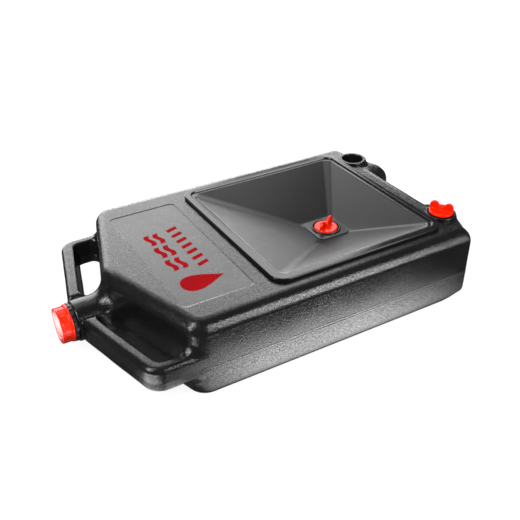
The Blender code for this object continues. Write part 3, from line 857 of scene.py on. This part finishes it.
def build_vent_bush(paint):
    top = COLLAR_Z - TOP_Z
    bottom, seat = VENT_LO.z - TOP_Z, 0.0024
    outside = [
        (BARREL_R, bottom),
        (BARREL_R, GAP),
        (COLLAR_R, GAP),
        (COLLAR_R, top),
        (COUNTERBORE_R, top),
        (COUNTERBORE_R, seat),
        (THREAD_ROOT_R, seat),
    ]
    soft = soften(outside, [0.0, 0.0003, 0.0003, 0.0011, 0.0006, 0.0003, 0.0], 5, closed=False)
    profile = soft + threaded_bore(bottom, seat - 0.0002)
    mesh = turned("vent_collar", profile, 112, bush_thread(bottom, seat), 45.0)
    bush = new_object("vent_collar", mesh, paint)
    bush.location = (PORT_X, -PORT_Y, TOP_Z)
    return mount(bush, "tank", "tank_black", "vent_bush")


def build_socket(paint):
    top, bottom = COLLAR_Z - TOP_Z, SOCKET_LO.z - TOP_Z
    hole_r, hole_floor = 0.0193, bottom + 0.0025
    profile = [
        (0.0, bottom),
        (BARREL_R, bottom),
        (BARREL_R, GAP),
        (COLLAR_R, GAP),
        (COLLAR_R, top),
        (hole_r, top),
        (hole_r, hole_floor),
        (0.0, hole_floor),
    ]
    soft = soften(profile, [0.0, 0.001, 0.0003, 0.0003, 0.0016, 0.0016, 0.003, 0.0], 5)
    mesh = turned("park_socket", soft, 96, None, 45.0)
    socket = new_object("park_socket", mesh, paint)
    socket.location = (PORT_X, PORT_Y, TOP_Z)
    return mount(socket, "tank", "tank_black", "plug_park_socket")


def round_square(half, radius):
    return rounded_rectangle(0.0, 0.0, half, half, min(radius, half) * 0.99999, 24)


def build_drain_bush(paint):
    """Square plate on the pan's floor with a raised collar, in softened steps."""
    half = (DRAIN_HI.x - DRAIN_LO.x) / 2
    bottom, top = DRAIN_LO.z - SUMP_Z, DRAIN_HI.z - SUMP_Z
    upper_r, collar_r = 0.0238, 0.0243
    collar_foot_r = collar_r + 0.0006
    seat, shoulder, plate = -0.0016, -0.0045, 0.0013
    levels = [
        ((BARREL_R, BARREL_R, bottom), 0.0),
        ((BARREL_R, BARREL_R, shoulder), 0.0003),
        ((upper_r, upper_r, shoulder), 0.0003),
        ((upper_r, upper_r, GAP), 0.0003),
        ((half, PLATE_CORNER_R, GAP), 0.0002),
        ((half, PLATE_CORNER_R, plate), 0.0012),
        ((collar_foot_r, collar_foot_r, plate), 0.0008),
        ((collar_r, collar_r, top), 0.0009),
        ((COUNTERBORE_R, COUNTERBORE_R, top), 0.0006),
        ((COUNTERBORE_R, COUNTERBORE_R, seat), 0.0003),
        ((THREAD_ROOT_R, THREAD_ROOT_R, seat), 0.0),
    ]
    path = soften(*zip(*levels), 4, closed=False)
    rings = [at_height(round_square(side, radius), z) for side, radius, z in path]
    thread = bush_thread(bottom, seat)
    for radius, z in threaded_bore(bottom, seat - 0.0002):
        ring = []
        for p in round_square(radius, radius):
            angle = math.atan2(p.y, p.x) % (2 * math.pi)
            grown = thread(radius, z, angle) / radius
            ring.append((p.x * grown, p.y * grown, z))
        rings.append(ring)
    bush = new_object("drain_collar", loft("drain_collar", rings, sharp_degrees=45.0), paint)
    bush.location = (SUMP_X, 0.0, SUMP_Z)
    return mount(bush, "tank", "pan_black", "drain_bush")


# ================================================================ plugs and rings
def wing_plan():
    """Side view of the grip: two rounded ears with a V between them."""
    ear_z = PLUG_HEAD + WING_HEIGHT - EAR_R
    right = []
    for k in range(17):
        angle = math.radians(-15 + 175 * k / 16)
        right.append(Vector((EAR_OUT + EAR_R * math.cos(angle), ear_z + EAR_R * math.sin(angle))))
    left = [Vector((-p.x, p.y)) for p in reversed(right)]
    foot = PLUG_R - 0.0016
    floor = PLUG_HEAD - 0.002
    valley = Vector((0.0, PLUG_HEAD + 0.0002))
    return [Vector((-foot, floor)), Vector((foot, floor))] + right + [valley] + left


def plug_field(x, y, z):
    around = np.hypot(x, y)
    head = upright(around - PLUG_R, z, 0.0, PLUG_HEAD, 0.0006, 0.0013)
    wing = common(polygon_distance(wing_plan(), x, z), np.abs(y) - WING_THICK / 2, 0.0016)
    body = np.maximum(joined(head, wing, 0.0011), around - PLUG_R)
    turn = (z + SHANK_LENGTH) / THREAD_PITCH - np.arctan2(y, x) / (2 * math.pi)
    crest = np.clip(np.cos(2 * math.pi * turn) * 1.8 + 0.1, 0, 1)
    fade = smoothstep(-SHANK_LENGTH, -SHANK_LENGTH + 0.0015, z) * smoothstep(-0.0022, -0.0036, z)
    shank_r = SHANK_R - THREAD_HEIGHT * (1 - crest * fade)
    shank = upright(around - shank_r, z, -SHANK_LENGTH, 0.001, 0.0008, 0.0)
    body = joined(body, shank, 0.0004)
    cup = upright(around - (SHANK_R - 0.0032), z, -SHANK_LENGTH - 0.010, -0.0012, 0.0, 0.0012)
    return common(body, -cup, 0.0004)


def plug_mesh(paint):
    step, margin = 0.00050, 0.0012
    reach = PLUG_R + margin
    across = spaced((-reach, reach, step))
    up = spaced(
        (-SHANK_LENGTH - margin, -0.0010, step),
        (-0.0010, PLUG_HEAD + 0.001, step * 0.7),
        (PLUG_HEAD + 0.001, PLUG_HEAD + WING_HEIGHT + margin, step),
    )
    mesh = field_mesh("winged_plug", plug_field, across, across, up, sharp_degrees=50.0)
    mesh.materials.append(paint)
    return mesh


def build_plug(port, mesh, turn):
    lowest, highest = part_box(port + "_plug")
    plug = new_object(port + "_wing_plug", mesh)
    head_z = highest.z - PLUG_HEAD - WING_HEIGHT
    plug.location = ((lowest.x + highest.x) / 2, (lowest.y + highest.y) / 2, head_z)
    plug.rotation_euler = (0.0, 0.0, turn)
    return mount(plug, port + "_plug_body", "red_plastic", port + "_plug")


def build_ring(port, paint):
    """Flat rubber ring with rounded edges."""
    lowest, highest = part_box(port + "_plug_seal")
    outer = (highest.x - lowest.x) / 2
    inner = SHANK_R + GAP
    thick = highest.z - lowest.z
    profile = [(inner, 0.0), (outer, 0.0), (outer, thick), (inner, thick)]
    soft = soften(profile, thick * 0.45, 5)
    name = port + "_ring"
    ring = new_object(name, turned(name, soft, 96), paint)
    ring.location = ((lowest.x + highest.x) / 2, (lowest.y + highest.y) / 2, lowest.z)
    return mount(ring, port + "_seal_ring", "rubber", port + "_plug_seal")


# ================================================================ spout cap
def cap_radius_at(depth):
    """Sunk panels between the ribs outside, and the thread inside."""
    grip_low, grip_high = CAP_GRIP_LOW, depth - CAP_GRIP_HIGH
    fade = 0.0010

    def radius_at(radius, z, angle):
        if is_radius(radius, CAP_R) and z > grip_low:
            along = smooth_bump((z - grip_low) / fade) * smooth_bump((grip_high - z) / fade)
            rib = smooth_bump((math.cos(CAP_RIBS * angle) - 0.80) / 0.16)
            return radius - CAP_PANEL_DEPTH * along * (1 - rib)
        if is_radius(radius, SKIRT_R):
            top = depth - CAP_FACE_THICK - 0.003
            return radius - thread_height(z, angle, 0.001, top, CAP_PITCH, THREAD_HEIGHT)
        return radius

    return radius_at


def build_cap(paint):
    depth = CAP_BACK_X - CAP_FACE_X
    inner_face = depth - CAP_FACE_THICK
    grip_high = depth - CAP_GRIP_HIGH
    flange = [
        (SKIRT_R, 0.0),
        (CAP_FLANGE_R, 0.0),
        (CAP_FLANGE_R, CAP_GRIP_LOW - 0.0008),
        (CAP_R, CAP_GRIP_LOW),
    ]
    profile = soften(flange, [0.0005, 0.0008, 0.0007, 0.0], 4, closed=False)
    steps = 24
    for k in range(1, steps):
        profile.append((CAP_R, CAP_GRIP_LOW + (grip_high + 0.0010 - CAP_GRIP_LOW) * k / steps))
    face = [
        (CAP_R, grip_high + 0.0012),
        (CAP_R - 0.0002, depth),
        (CAP_R - 0.0080, depth),
        (CAP_R - 0.0095, depth - 0.0007),
        (0.0, depth - 0.0007),
    ]
    profile += soften(face, [0.0, 0.0018, 0.0008, 0.0008, 0.0], 6, closed=False)
    profile += [(0.0, inner_face), (SKIRT_R - 0.001, inner_face), (SKIRT_R, inner_face - 0.001)]
    steps = 48
    for k in range(1, steps):
        profile.append((SKIRT_R, (inner_face - 0.001) * (1 - k / steps)))
    mesh = turned("spout_screw_cap", profile, CAP_RIBS * 20, cap_radius_at(depth), 45.0)
    cap = new_object("spout_screw_cap", mesh, paint)
    cap.matrix_world = along_neck(CAP_BACK_X)
    return mount(cap, "cap_body", "red_plastic", "spout_cap")


def build_liner(paint):
    radius = (LINER_HI.y - LINER_LO.y) / 2
    thick = LINER_HI.x - LINER_LO.x
    profile = [
        (0.0, 0.0),
        (radius - 0.0060, 0.0),
        (radius - 0.0050, 0.0003),
        (radius, 0.0003),
        (radius, thick),
        (0.0, thick),
    ]
    soft = soften(profile, [0.0, 0.0005, 0.0005, 0.0003, 0.0004, 0.0], 4)
    liner = new_object("cap_liner", turned("cap_liner", soft, 96), paint)
    liner.matrix_world = along_neck(LINER_HI.x)
    return mount(liner, "cap_liner_disc", "liner_foam", "spout_cap_liner")


# ================================================================ label
def drop_points(x, y, size, steps=48):
    """An oil drop: round below, drawn to a point above; its point faces +X."""
    points = []
    for k in range(steps):
        t = 2 * math.pi * k / steps
        narrow = math.sin(t / 2) ** 1.6
        points.append(Vector((x + size * math.cos(t) * 1.25, y + size * math.sin(t) * narrow)))
    return points


def wave_points(x, y, length, width, swing, steps=20):
    """A wavy bar along Y."""
    edges = []
    for side in (-1, 1):
        edge = []
        for k in range(steps + 1):
            t = k / steps
            across = x + side * width / 2 + swing * math.sin(2 * math.pi * t)
            edge.append(Vector((across, y + length * (t - 0.5))))
        edges.append(edge)
    return edges[1] + edges[0][::-1]


def bar_points(x, y, length, width, lean):
    """A short leaning bar across X with rounded corners."""
    ends = ((-1, -1), (1, -1), (1, 1), (-1, 1))
    corners = [Vector((x + length / 2 * i, y + width / 2 * j + lean * i)) for i, j in ends]
    return round_corners(corners, [width * 0.2] * 4, 4)


def label_marks():
    """A plain sign for liquid: one large drop, three pairs of waves and a row of bars."""
    marks = [drop_points(LABEL_X - 0.002, -0.092, 0.028)]
    for k in range(3):
        y = -0.034 + 0.040 * k
        for offset in (-0.0075, 0.0075):
            marks.append(wave_points(LABEL_X - 0.017 + offset, y, 0.032, 0.0085, 0.0026))
    for k in range(7):
        marks.append(bar_points(LABEL_X + 0.019, -0.050 + 0.0185 * k, 0.019, 0.0085, 0.003))
    return marks


def build_label(paint, lip_paint, ink):
    """The recess's sloping lip, the film that lies in it, and the printed marks."""
    low, top = TOP_Z - LABEL_DEPTH + HAIR, TOP_Z - LABEL_SUNK

    def ring(inset, z):
        half_x, half_y = LABEL_HALF_X - inset, LABEL_HI.y - inset
        return at_height(rounded_rectangle(LABEL_X, 0.0, half_x, half_y, LABEL_CORNER - inset), z)

    levels = [(HAIR, low), (HAIR, TOP_Z), (LABEL_LIP, top), (LABEL_LIP, low)]
    rings = [ring(inset, z) for inset, z in levels]
    lip = new_object("label_recess_lip", loft("label_recess_lip", rings, sharp_degrees=20.0), lip_paint)
    mount(lip, "tank", "tank_black")
    rings = [ring(LABEL_LIP + HAIR, low), ring(LABEL_LIP + HAIR, top)]
    plate = new_object("label_film", loft("label_film", rings, closed=False, sharp_degrees=30.0), paint)
    mount(plate, "tank", "label_film", "label")
    for k, points in enumerate(label_marks()):
        name = "label_mark_%02d" % k
        mark = new_object(name, prism(name, points, top - HAIR, top + 0.00006, 30.0), ink)
        mount(mark, "tank", "label_film")


# ================================================================ materials
class Nodes:
    """The shader nodes of a material or world, with short ways to add and join them."""

    def __init__(self, owner):
        owner.use_nodes = True
        self.all = owner.node_tree.nodes
        self.links = owner.node_tree.links

    def feed(self, socket, value):
        """Give an input a plain value or the output of another node."""
        if isinstance(value, bpy.types.NodeSocket):
            self.links.new(value, socket)
        else:
            socket.default_value = value

    def add(self, kind, **inputs):
        """A new node; an input's name has _ for each space."""
        node = self.all.new("ShaderNode" + kind)
        for name, value in inputs.items():
            self.feed(node.inputs[name.replace("_", " ")], value)
        return node

    def fed(self, kind, *values):
        """The output of a new node whose inputs are filled in order."""
        node = self.all.new("ShaderNode" + kind)
        for socket, value in zip(node.inputs, values):
            self.feed(socket, value)
        return node.outputs[0]

    def show(self, surface):
        """Make a shader the surface of the material or world."""
        output = next(node for node in self.all if node.type.startswith("OUTPUT"))
        self.links.new(surface, output.inputs["Surface"])

    def noise(self, vector, scale, detail, roughness=0.55):
        node = self.add("TexNoise", Vector=vector, Scale=scale, Detail=detail, Roughness=roughness)
        return node.outputs["Fac"]

    def remap(self, value, low, high, out_low=0.0, out_high=1.0):
        ends = {"From_Min": low, "From_Max": high, "To_Min": out_low, "To_Max": out_high}
        return self.add("MapRange", Value=value, **ends).outputs["Result"]

    def ramp(self, value, low, high):
        """0 below low, 1 above high and a smooth rise between; low may be the larger of the two."""
        node = self.all.new("ShaderNodeMapRange")
        node.interpolation_type = "SMOOTHSTEP"
        for name, number in (("Value", value), ("From Min", low), ("From Max", high)):
            self.feed(node.inputs[name], number)
        return node.outputs["Result"]

    def math(self, operation, first, second):
        node = self.all.new("ShaderNodeMath")
        node.operation = operation
        self.feed(node.inputs[0], first)
        self.feed(node.inputs[1], second)
        return node.outputs["Value"]

    def product(self, *values):
        total = values[0]
        for value in values[1:]:
            total = self.math("MULTIPLY", total, value)
        return total

    def tint(self, share, first, second):
        """Two colours mixed."""
        node = self.all.new("ShaderNodeMix")
        node.data_type = "RGBA"
        for name, value in (("Factor", share), ("A", first), ("B", second)):
            self.feed(node.inputs[name], value)
        return node.outputs["Result"]

    def split(self, vector):
        """The X, Y and Z of a vector."""
        return self.add("SeparateXYZ", Vector=vector).outputs[:]

    def seen_by_camera(self):
        return self.add("LightPath").outputs["Is Camera Ray"]


def plastic(
    name, dark, light, rough_low, rough_high, grain_scale, grain_depth, scratch=0.35, wear=0.0,
    swell=0.35, shine=0.5, sparkle=0.0, satin_below=None, seen_in_others=1.0,
):
    """Moulded plastic: cloudy colour, uneven gloss, fine grain, hair scratches and worn edges."""
    made = bpy.data.materials.new(name)
    tree = Nodes(made)
    shader = tree.all["Principled BSDF"]
    place = tree.add("TexCoord").outputs["Object"]
    cloud = tree.noise(place, 14.0, 3.0)
    fine = tree.noise(place, grain_scale, 1.0, 0.5)
    grit = tree.remap(fine, 0.42, 0.70)
    smear = tree.noise(place, 55.0, 5.0, 0.6)
    drawn_out = tree.add("Mapping", Vector=place, Scale=(30.0, 900.0, 900.0)).outputs["Vector"]
    hair_line = tree.remap(tree.noise(drawn_out, 1.0, 2.0), 0.66, 0.72)

    tone = tree.math("MULTIPLY", tree.remap(cloud, 0.3, 0.7), 0.7)
    speck = tree.math("MULTIPLY", tree.remap(fine, 0.55, 0.8), 0.5)
    colour = tree.tint(tree.math("ADD", tone, speck), (*dark, 1.0), (*light, 1.0))
    if wear:
        edge = tree.remap(tree.add("NewGeometry").outputs["Pointiness"], 0.53, 0.60)
        rubbed = tree.math("MULTIPLY", edge, tree.remap(smear, 0.45, 0.6, 0.0, wear))
        pale = [min(c * 3.0 + 0.03, 1.0) for c in light]
        colour = tree.tint(rubbed, colour, (*pale, 1.0))
    tree.feed(shader.inputs["Base Color"], colour)

    rough = tree.remap(smear, 0.3, 0.7, rough_low, rough_high)
    rough = tree.math("ADD", rough, tree.math("MULTIPLY", hair_line, 0.08))
    if satin_below:
        satin = tree.remap(tree.split(place)[2], satin_below, satin_below - 0.0005, 0.0, 0.20)
        rough = tree.math("ADD", rough, satin)
    tree.feed(shader.inputs["Roughness"], rough)
    spread = tree.noise(place, grain_scale * 1.15, 1.0, 0.5)
    gleam = tree.remap(spread, 0.35, 0.65, shine * (1 - sparkle), shine * (1 + sparkle))
    tree.feed(shader.inputs["Specular IOR Level"], gleam)

    height = tree.math("ADD", grit, tree.math("MULTIPLY", smear, swell))
    height = tree.math("SUBTRACT", height, tree.math("MULTIPLY", hair_line, scratch))
    bump = tree.add("Bump", Strength=1.0, Distance=grain_depth, Height=height)
    tree.feed(shader.inputs["Normal"], bump.outputs["Normal"])
    if seen_in_others < 1.0:
        dim_in_reflections(tree, shader, seen_in_others)
    return made


def dim_in_reflections(tree, shader, share):
    """Keeps a bright part from tinting the glossy black ones around it."""
    black = tree.add("BsdfDiffuse", Color=(0.0, 0.0, 0.0, 1.0)).outputs["BSDF"]
    clear = tree.remap(tree.seen_by_camera(), 0.0, 1.0, share, 1.0)
    tree.show(tree.fed("MixShader", clear, black, shader.outputs["BSDF"]))


RED_DARK, RED_LIGHT = (0.80, 0.010, 0.0004), (0.92, 0.020, 0.001)
TANK_PAINT = plastic(
    "tank_black_hdpe", (0.0035, 0.0035, 0.0038), (0.0075, 0.0075, 0.0080), 0.14, 0.20,
    540.0, 0.00012, scratch=0.06, wear=0.25, swell=0.15, sparkle=0.55,
)
PAN_PAINT = plastic(
    "pan_black_plastic", (0.0050, 0.0050, 0.0053), (0.0090, 0.0090, 0.0095), 0.10, 0.16,
    900.0, 0.00002, scratch=0.15, wear=0.15, swell=0.6, sparkle=0.06, satin_below=RIM_Z - 0.0036,
)
RED_PAINT = plastic(
    "red_moulded_plastic", RED_DARK, RED_LIGHT, 0.16, 0.26,
    900.0, 0.00003, scratch=0.3, shine=0.45, seen_in_others=0.10,
)
PLUG_PAINT = plastic(
    "red_plug_plastic", RED_DARK, RED_LIGHT, 0.12, 0.20,
    900.0, 0.00003, scratch=0.3, shine=0.26, seen_in_others=0.10,
)
RUBBER_PAINT = plastic(
    "black_rubber", (0.002, 0.002, 0.002), (0.006, 0.006, 0.006), 0.50, 0.70,
    1400.0, 0.00005, scratch=0.2, shine=0.08,
)
FOAM_PAINT = plastic(
    "liner_foam", (0.48, 0.47, 0.44), (0.62, 0.61, 0.58), 0.70, 0.90,
    1600.0, 0.00010, scratch=0.0,
)
FILM_PAINT = plastic(
    "label_film_grey", (0.022, 0.022, 0.0225), (0.038, 0.038, 0.039), 0.24, 0.32,
    600.0, 0.00005, scratch=0.05, swell=0.15, sparkle=0.25,
)
INK_PAINT = plastic(
    "label_ink_red", (0.20, 0.0004, 0.002), (0.26, 0.001, 0.004), 0.60, 0.75,
    820.0, 0.00004, scratch=0.1, shine=0.02,
)

# ================================================================ build
build_tank(TANK_PAINT)
build_pan(PAN_PAINT)
build_pan_seal(RUBBER_PAINT)
build_vent_bush(TANK_PAINT)
build_socket(TANK_PAINT)
build_drain_bush(PAN_PAINT)
winged_plug = plug_mesh(PLUG_PAINT)
build_plug("drain", winged_plug, DRAIN_TURN)
build_plug("vent", winged_plug.copy(), VENT_TURN)
for port in ("drain", "vent"):
    build_ring(port, RUBBER_PAINT)
build_cap(RED_PAINT)
build_liner(FOAM_PAINT)
build_label(FILM_PAINT, TANK_PAINT, INK_PAINT)


# ================================================================ stage, light and camera
MIDDLE = Vector((0.0, 0.0, 0.08))   # the lamps face this point
SIDE_GLOW = 6.0                     # radiance of the strip of floor along the near side
POOLS = (
    # centre x, centre y, radius, radiance
    (-0.315, -0.195, 0.085, 5.0),
    (-0.228, -0.206, 0.030, 7.0),
    (CAP_FACE_X - 0.060, 0.080, 0.060, 4.5),
)
SOFTBOXES = (
    # name, azimuth and elevation in degrees, distance, width, height, radiance
    ("back_box", 9, 23, 2.6, 2.9, 2.2, 3.7),
    ("high_patch", 43, 49, 2.6, 0.85, 0.75, 2.4),
    ("low_strip", 22, 4, 2.55, 1.1, 0.26, 4.5),
    ("overhead_box", 20, 66, 2.6, 2.0, 1.0, 1.0),
    ("low_patch", 45, 12, 2.6, 0.66, 0.85, 2.6),
    ("right_strip", 151.5, 20, 2.2, 0.95, 1.65, 8.5),
    ("left_strip", -95, 38, 2.0, 0.50, 1.8, 11.0),
    ("front_fill", -140, 50, 2.6, 1.2, 1.2, 11.0),
)


def card(name, half_x, half_y, z, paint):
    """One flat face."""
    corners = [(sx * half_x, sy * half_y, z) for sx, sy in ((-1, -1), (1, -1), (1, 1), (-1, 1))]
    paint.cycles.emission_sampling = "NONE"
    made = new_object(name, mesh_from(name, corners, [(0, 1, 2, 3)]), paint)
    return made


def side_glow(tree, x, y):
    """Light along the near side, faded out away from the tank, under it and at both ends."""
    beyond = tree.ramp(y, -HALF_W - 0.115, -HALF_W - 0.040)
    beneath = tree.ramp(y, -HALF_W + 0.004, -HALF_W - 0.006)
    front, rear = tree.ramp(x, -0.26, -0.06), tree.ramp(x, 0.37, 0.07)
    return tree.product(beyond, beneath, front, rear, SIDE_GLOW)


def build_floor():
    """A pale floor: near white to the camera with a soft contact shadow; in reflections it is dark,
    but for the light along the near side and in three round pools."""
    made = bpy.data.materials.new("pale_floor")
    tree = Nodes(made)
    glow = tree.add("Emission", Strength=0.86).outputs["Emission"]
    pale = tree.add("BsdfDiffuse", Color=(0.16, 0.16, 0.16, 1.0)).outputs["BSDF"]
    x, y, _ = tree.split(tree.add("NewGeometry").outputs["Position"])
    strength = tree.math("MAXIMUM", side_glow(tree, x, y), 0.10)
    for centre_x, centre_y, radius, radiance in POOLS:
        off_x = tree.math("SUBTRACT", x, centre_x)
        off_y = tree.math("SUBTRACT", y, centre_y)
        squares = tree.math("ADD", tree.product(off_x, off_x), tree.product(off_y, off_y))
        spot = tree.product(tree.ramp(squares, radius**2, radius**2 / 8), radiance)
        strength = tree.math("MAXIMUM", strength, spot)
    pool = tree.add("Emission", Strength=strength).outputs["Emission"]
    tree.show(tree.fed("MixShader", tree.seen_by_camera(), pool, tree.fed("AddShader", glow, pale)))
    card("floor", 6.0, 6.0, -0.0002, made)


def aim(made, place, axis):
    """Put an object in its place with that axis on the line to the middle."""
    made.location = place
    made.rotation_euler = (MIDDLE - Vector(place)).to_track_quat(axis, "Y").to_euler()


def softbox(name, place, size_x, size_y, radiance):
    """A rectangular lamp of that radiance."""
    lamp = bpy.data.lights.new(name, "AREA")
    lamp.shape = "RECTANGLE"
    lamp.size, lamp.size_y = size_x, size_y
    lamp.energy = radiance * math.pi * size_x * size_y
    made = bpy.data.objects.new(name, lamp)
    bpy.context.scene.collection.objects.link(made)
    aim(made, place, "-Z")
    made.visible_camera = False
    made.visible_glossy = name != "front_fill"


def build_flag(place, half_x, half_y):
    """A dark card with one soft side that shades the far strip of the top from the big box."""
    made = bpy.data.materials.new("flag_card")
    tree = Nodes(made)
    x = tree.split(tree.add("TexCoord").outputs["Object"])[0]
    solid = tree.ramp(x, -half_x, -half_x * 0.25)
    dark = tree.add("Emission", Strength=0.25).outputs["Emission"]
    clear = tree.add("BsdfTransparent").outputs["BSDF"]
    tree.show(tree.fed("MixShader", solid, clear, dark))
    flag = card("flag", half_x, half_y, 0.0, made)
    aim(flag, place, "Z")
    flag.visible_camera = False
    flag.visible_diffuse = False
    flag.visible_shadow = False


def around(azimuth_degrees, elevation_degrees, distance):
    """A place seen from the object; azimuth 0 is +Y and 90 is +X."""
    azimuth, elevation = math.radians(azimuth_degrees), math.radians(elevation_degrees)
    flat = distance * math.cos(elevation)
    return (flat * math.sin(azimuth), flat * math.cos(azimuth), distance * math.sin(elevation))


def build_world():
    """White to the camera; to the object, a dim room."""
    world = bpy.data.worlds.new("studio")
    tree = Nodes(world)
    seen = tree.all["Background"]
    seen.inputs["Color"].default_value = (1.0, 1.0, 1.0, 1.0)
    room = tree.add("Background", Color=(1.0, 1.0, 1.0, 1.0), Strength=0.10).outputs["Background"]
    tree.show(tree.fed("MixShader", tree.seen_by_camera(), room, seen.outputs["Background"]))
    bpy.context.scene.world = world


def build_camera():
    azimuth, elevation = 0.5353, 0.5717
    flat = math.cos(elevation)
    away = Vector((math.sin(azimuth) * flat, math.cos(azimuth) * flat, -math.sin(elevation)))
    lens = bpy.data.cameras.new("camera")
    lens.sensor_width = 36.0
    lens.lens = 51.21
    lens.clip_start = 0.02
    camera = bpy.data.objects.new("camera", lens)
    bpy.context.scene.collection.objects.link(camera)
    camera.location = (PAN_X - 0.6170, -0.8862, 0.7234)
    camera.rotation_euler = away.to_track_quat("-Z", "Y").to_euler()
    bpy.context.scene.camera = camera


build_floor()
build_world()
for name, azimuth, elevation, distance, width, height, radiance in SOFTBOXES:
    softbox(name, around(azimuth, elevation, distance), width, height, radiance)
build_flag(around(30, 22, 2.3), 0.31, 0.26)
build_camera()
bpy.context.scene.view_settings.view_transform = "Standard"
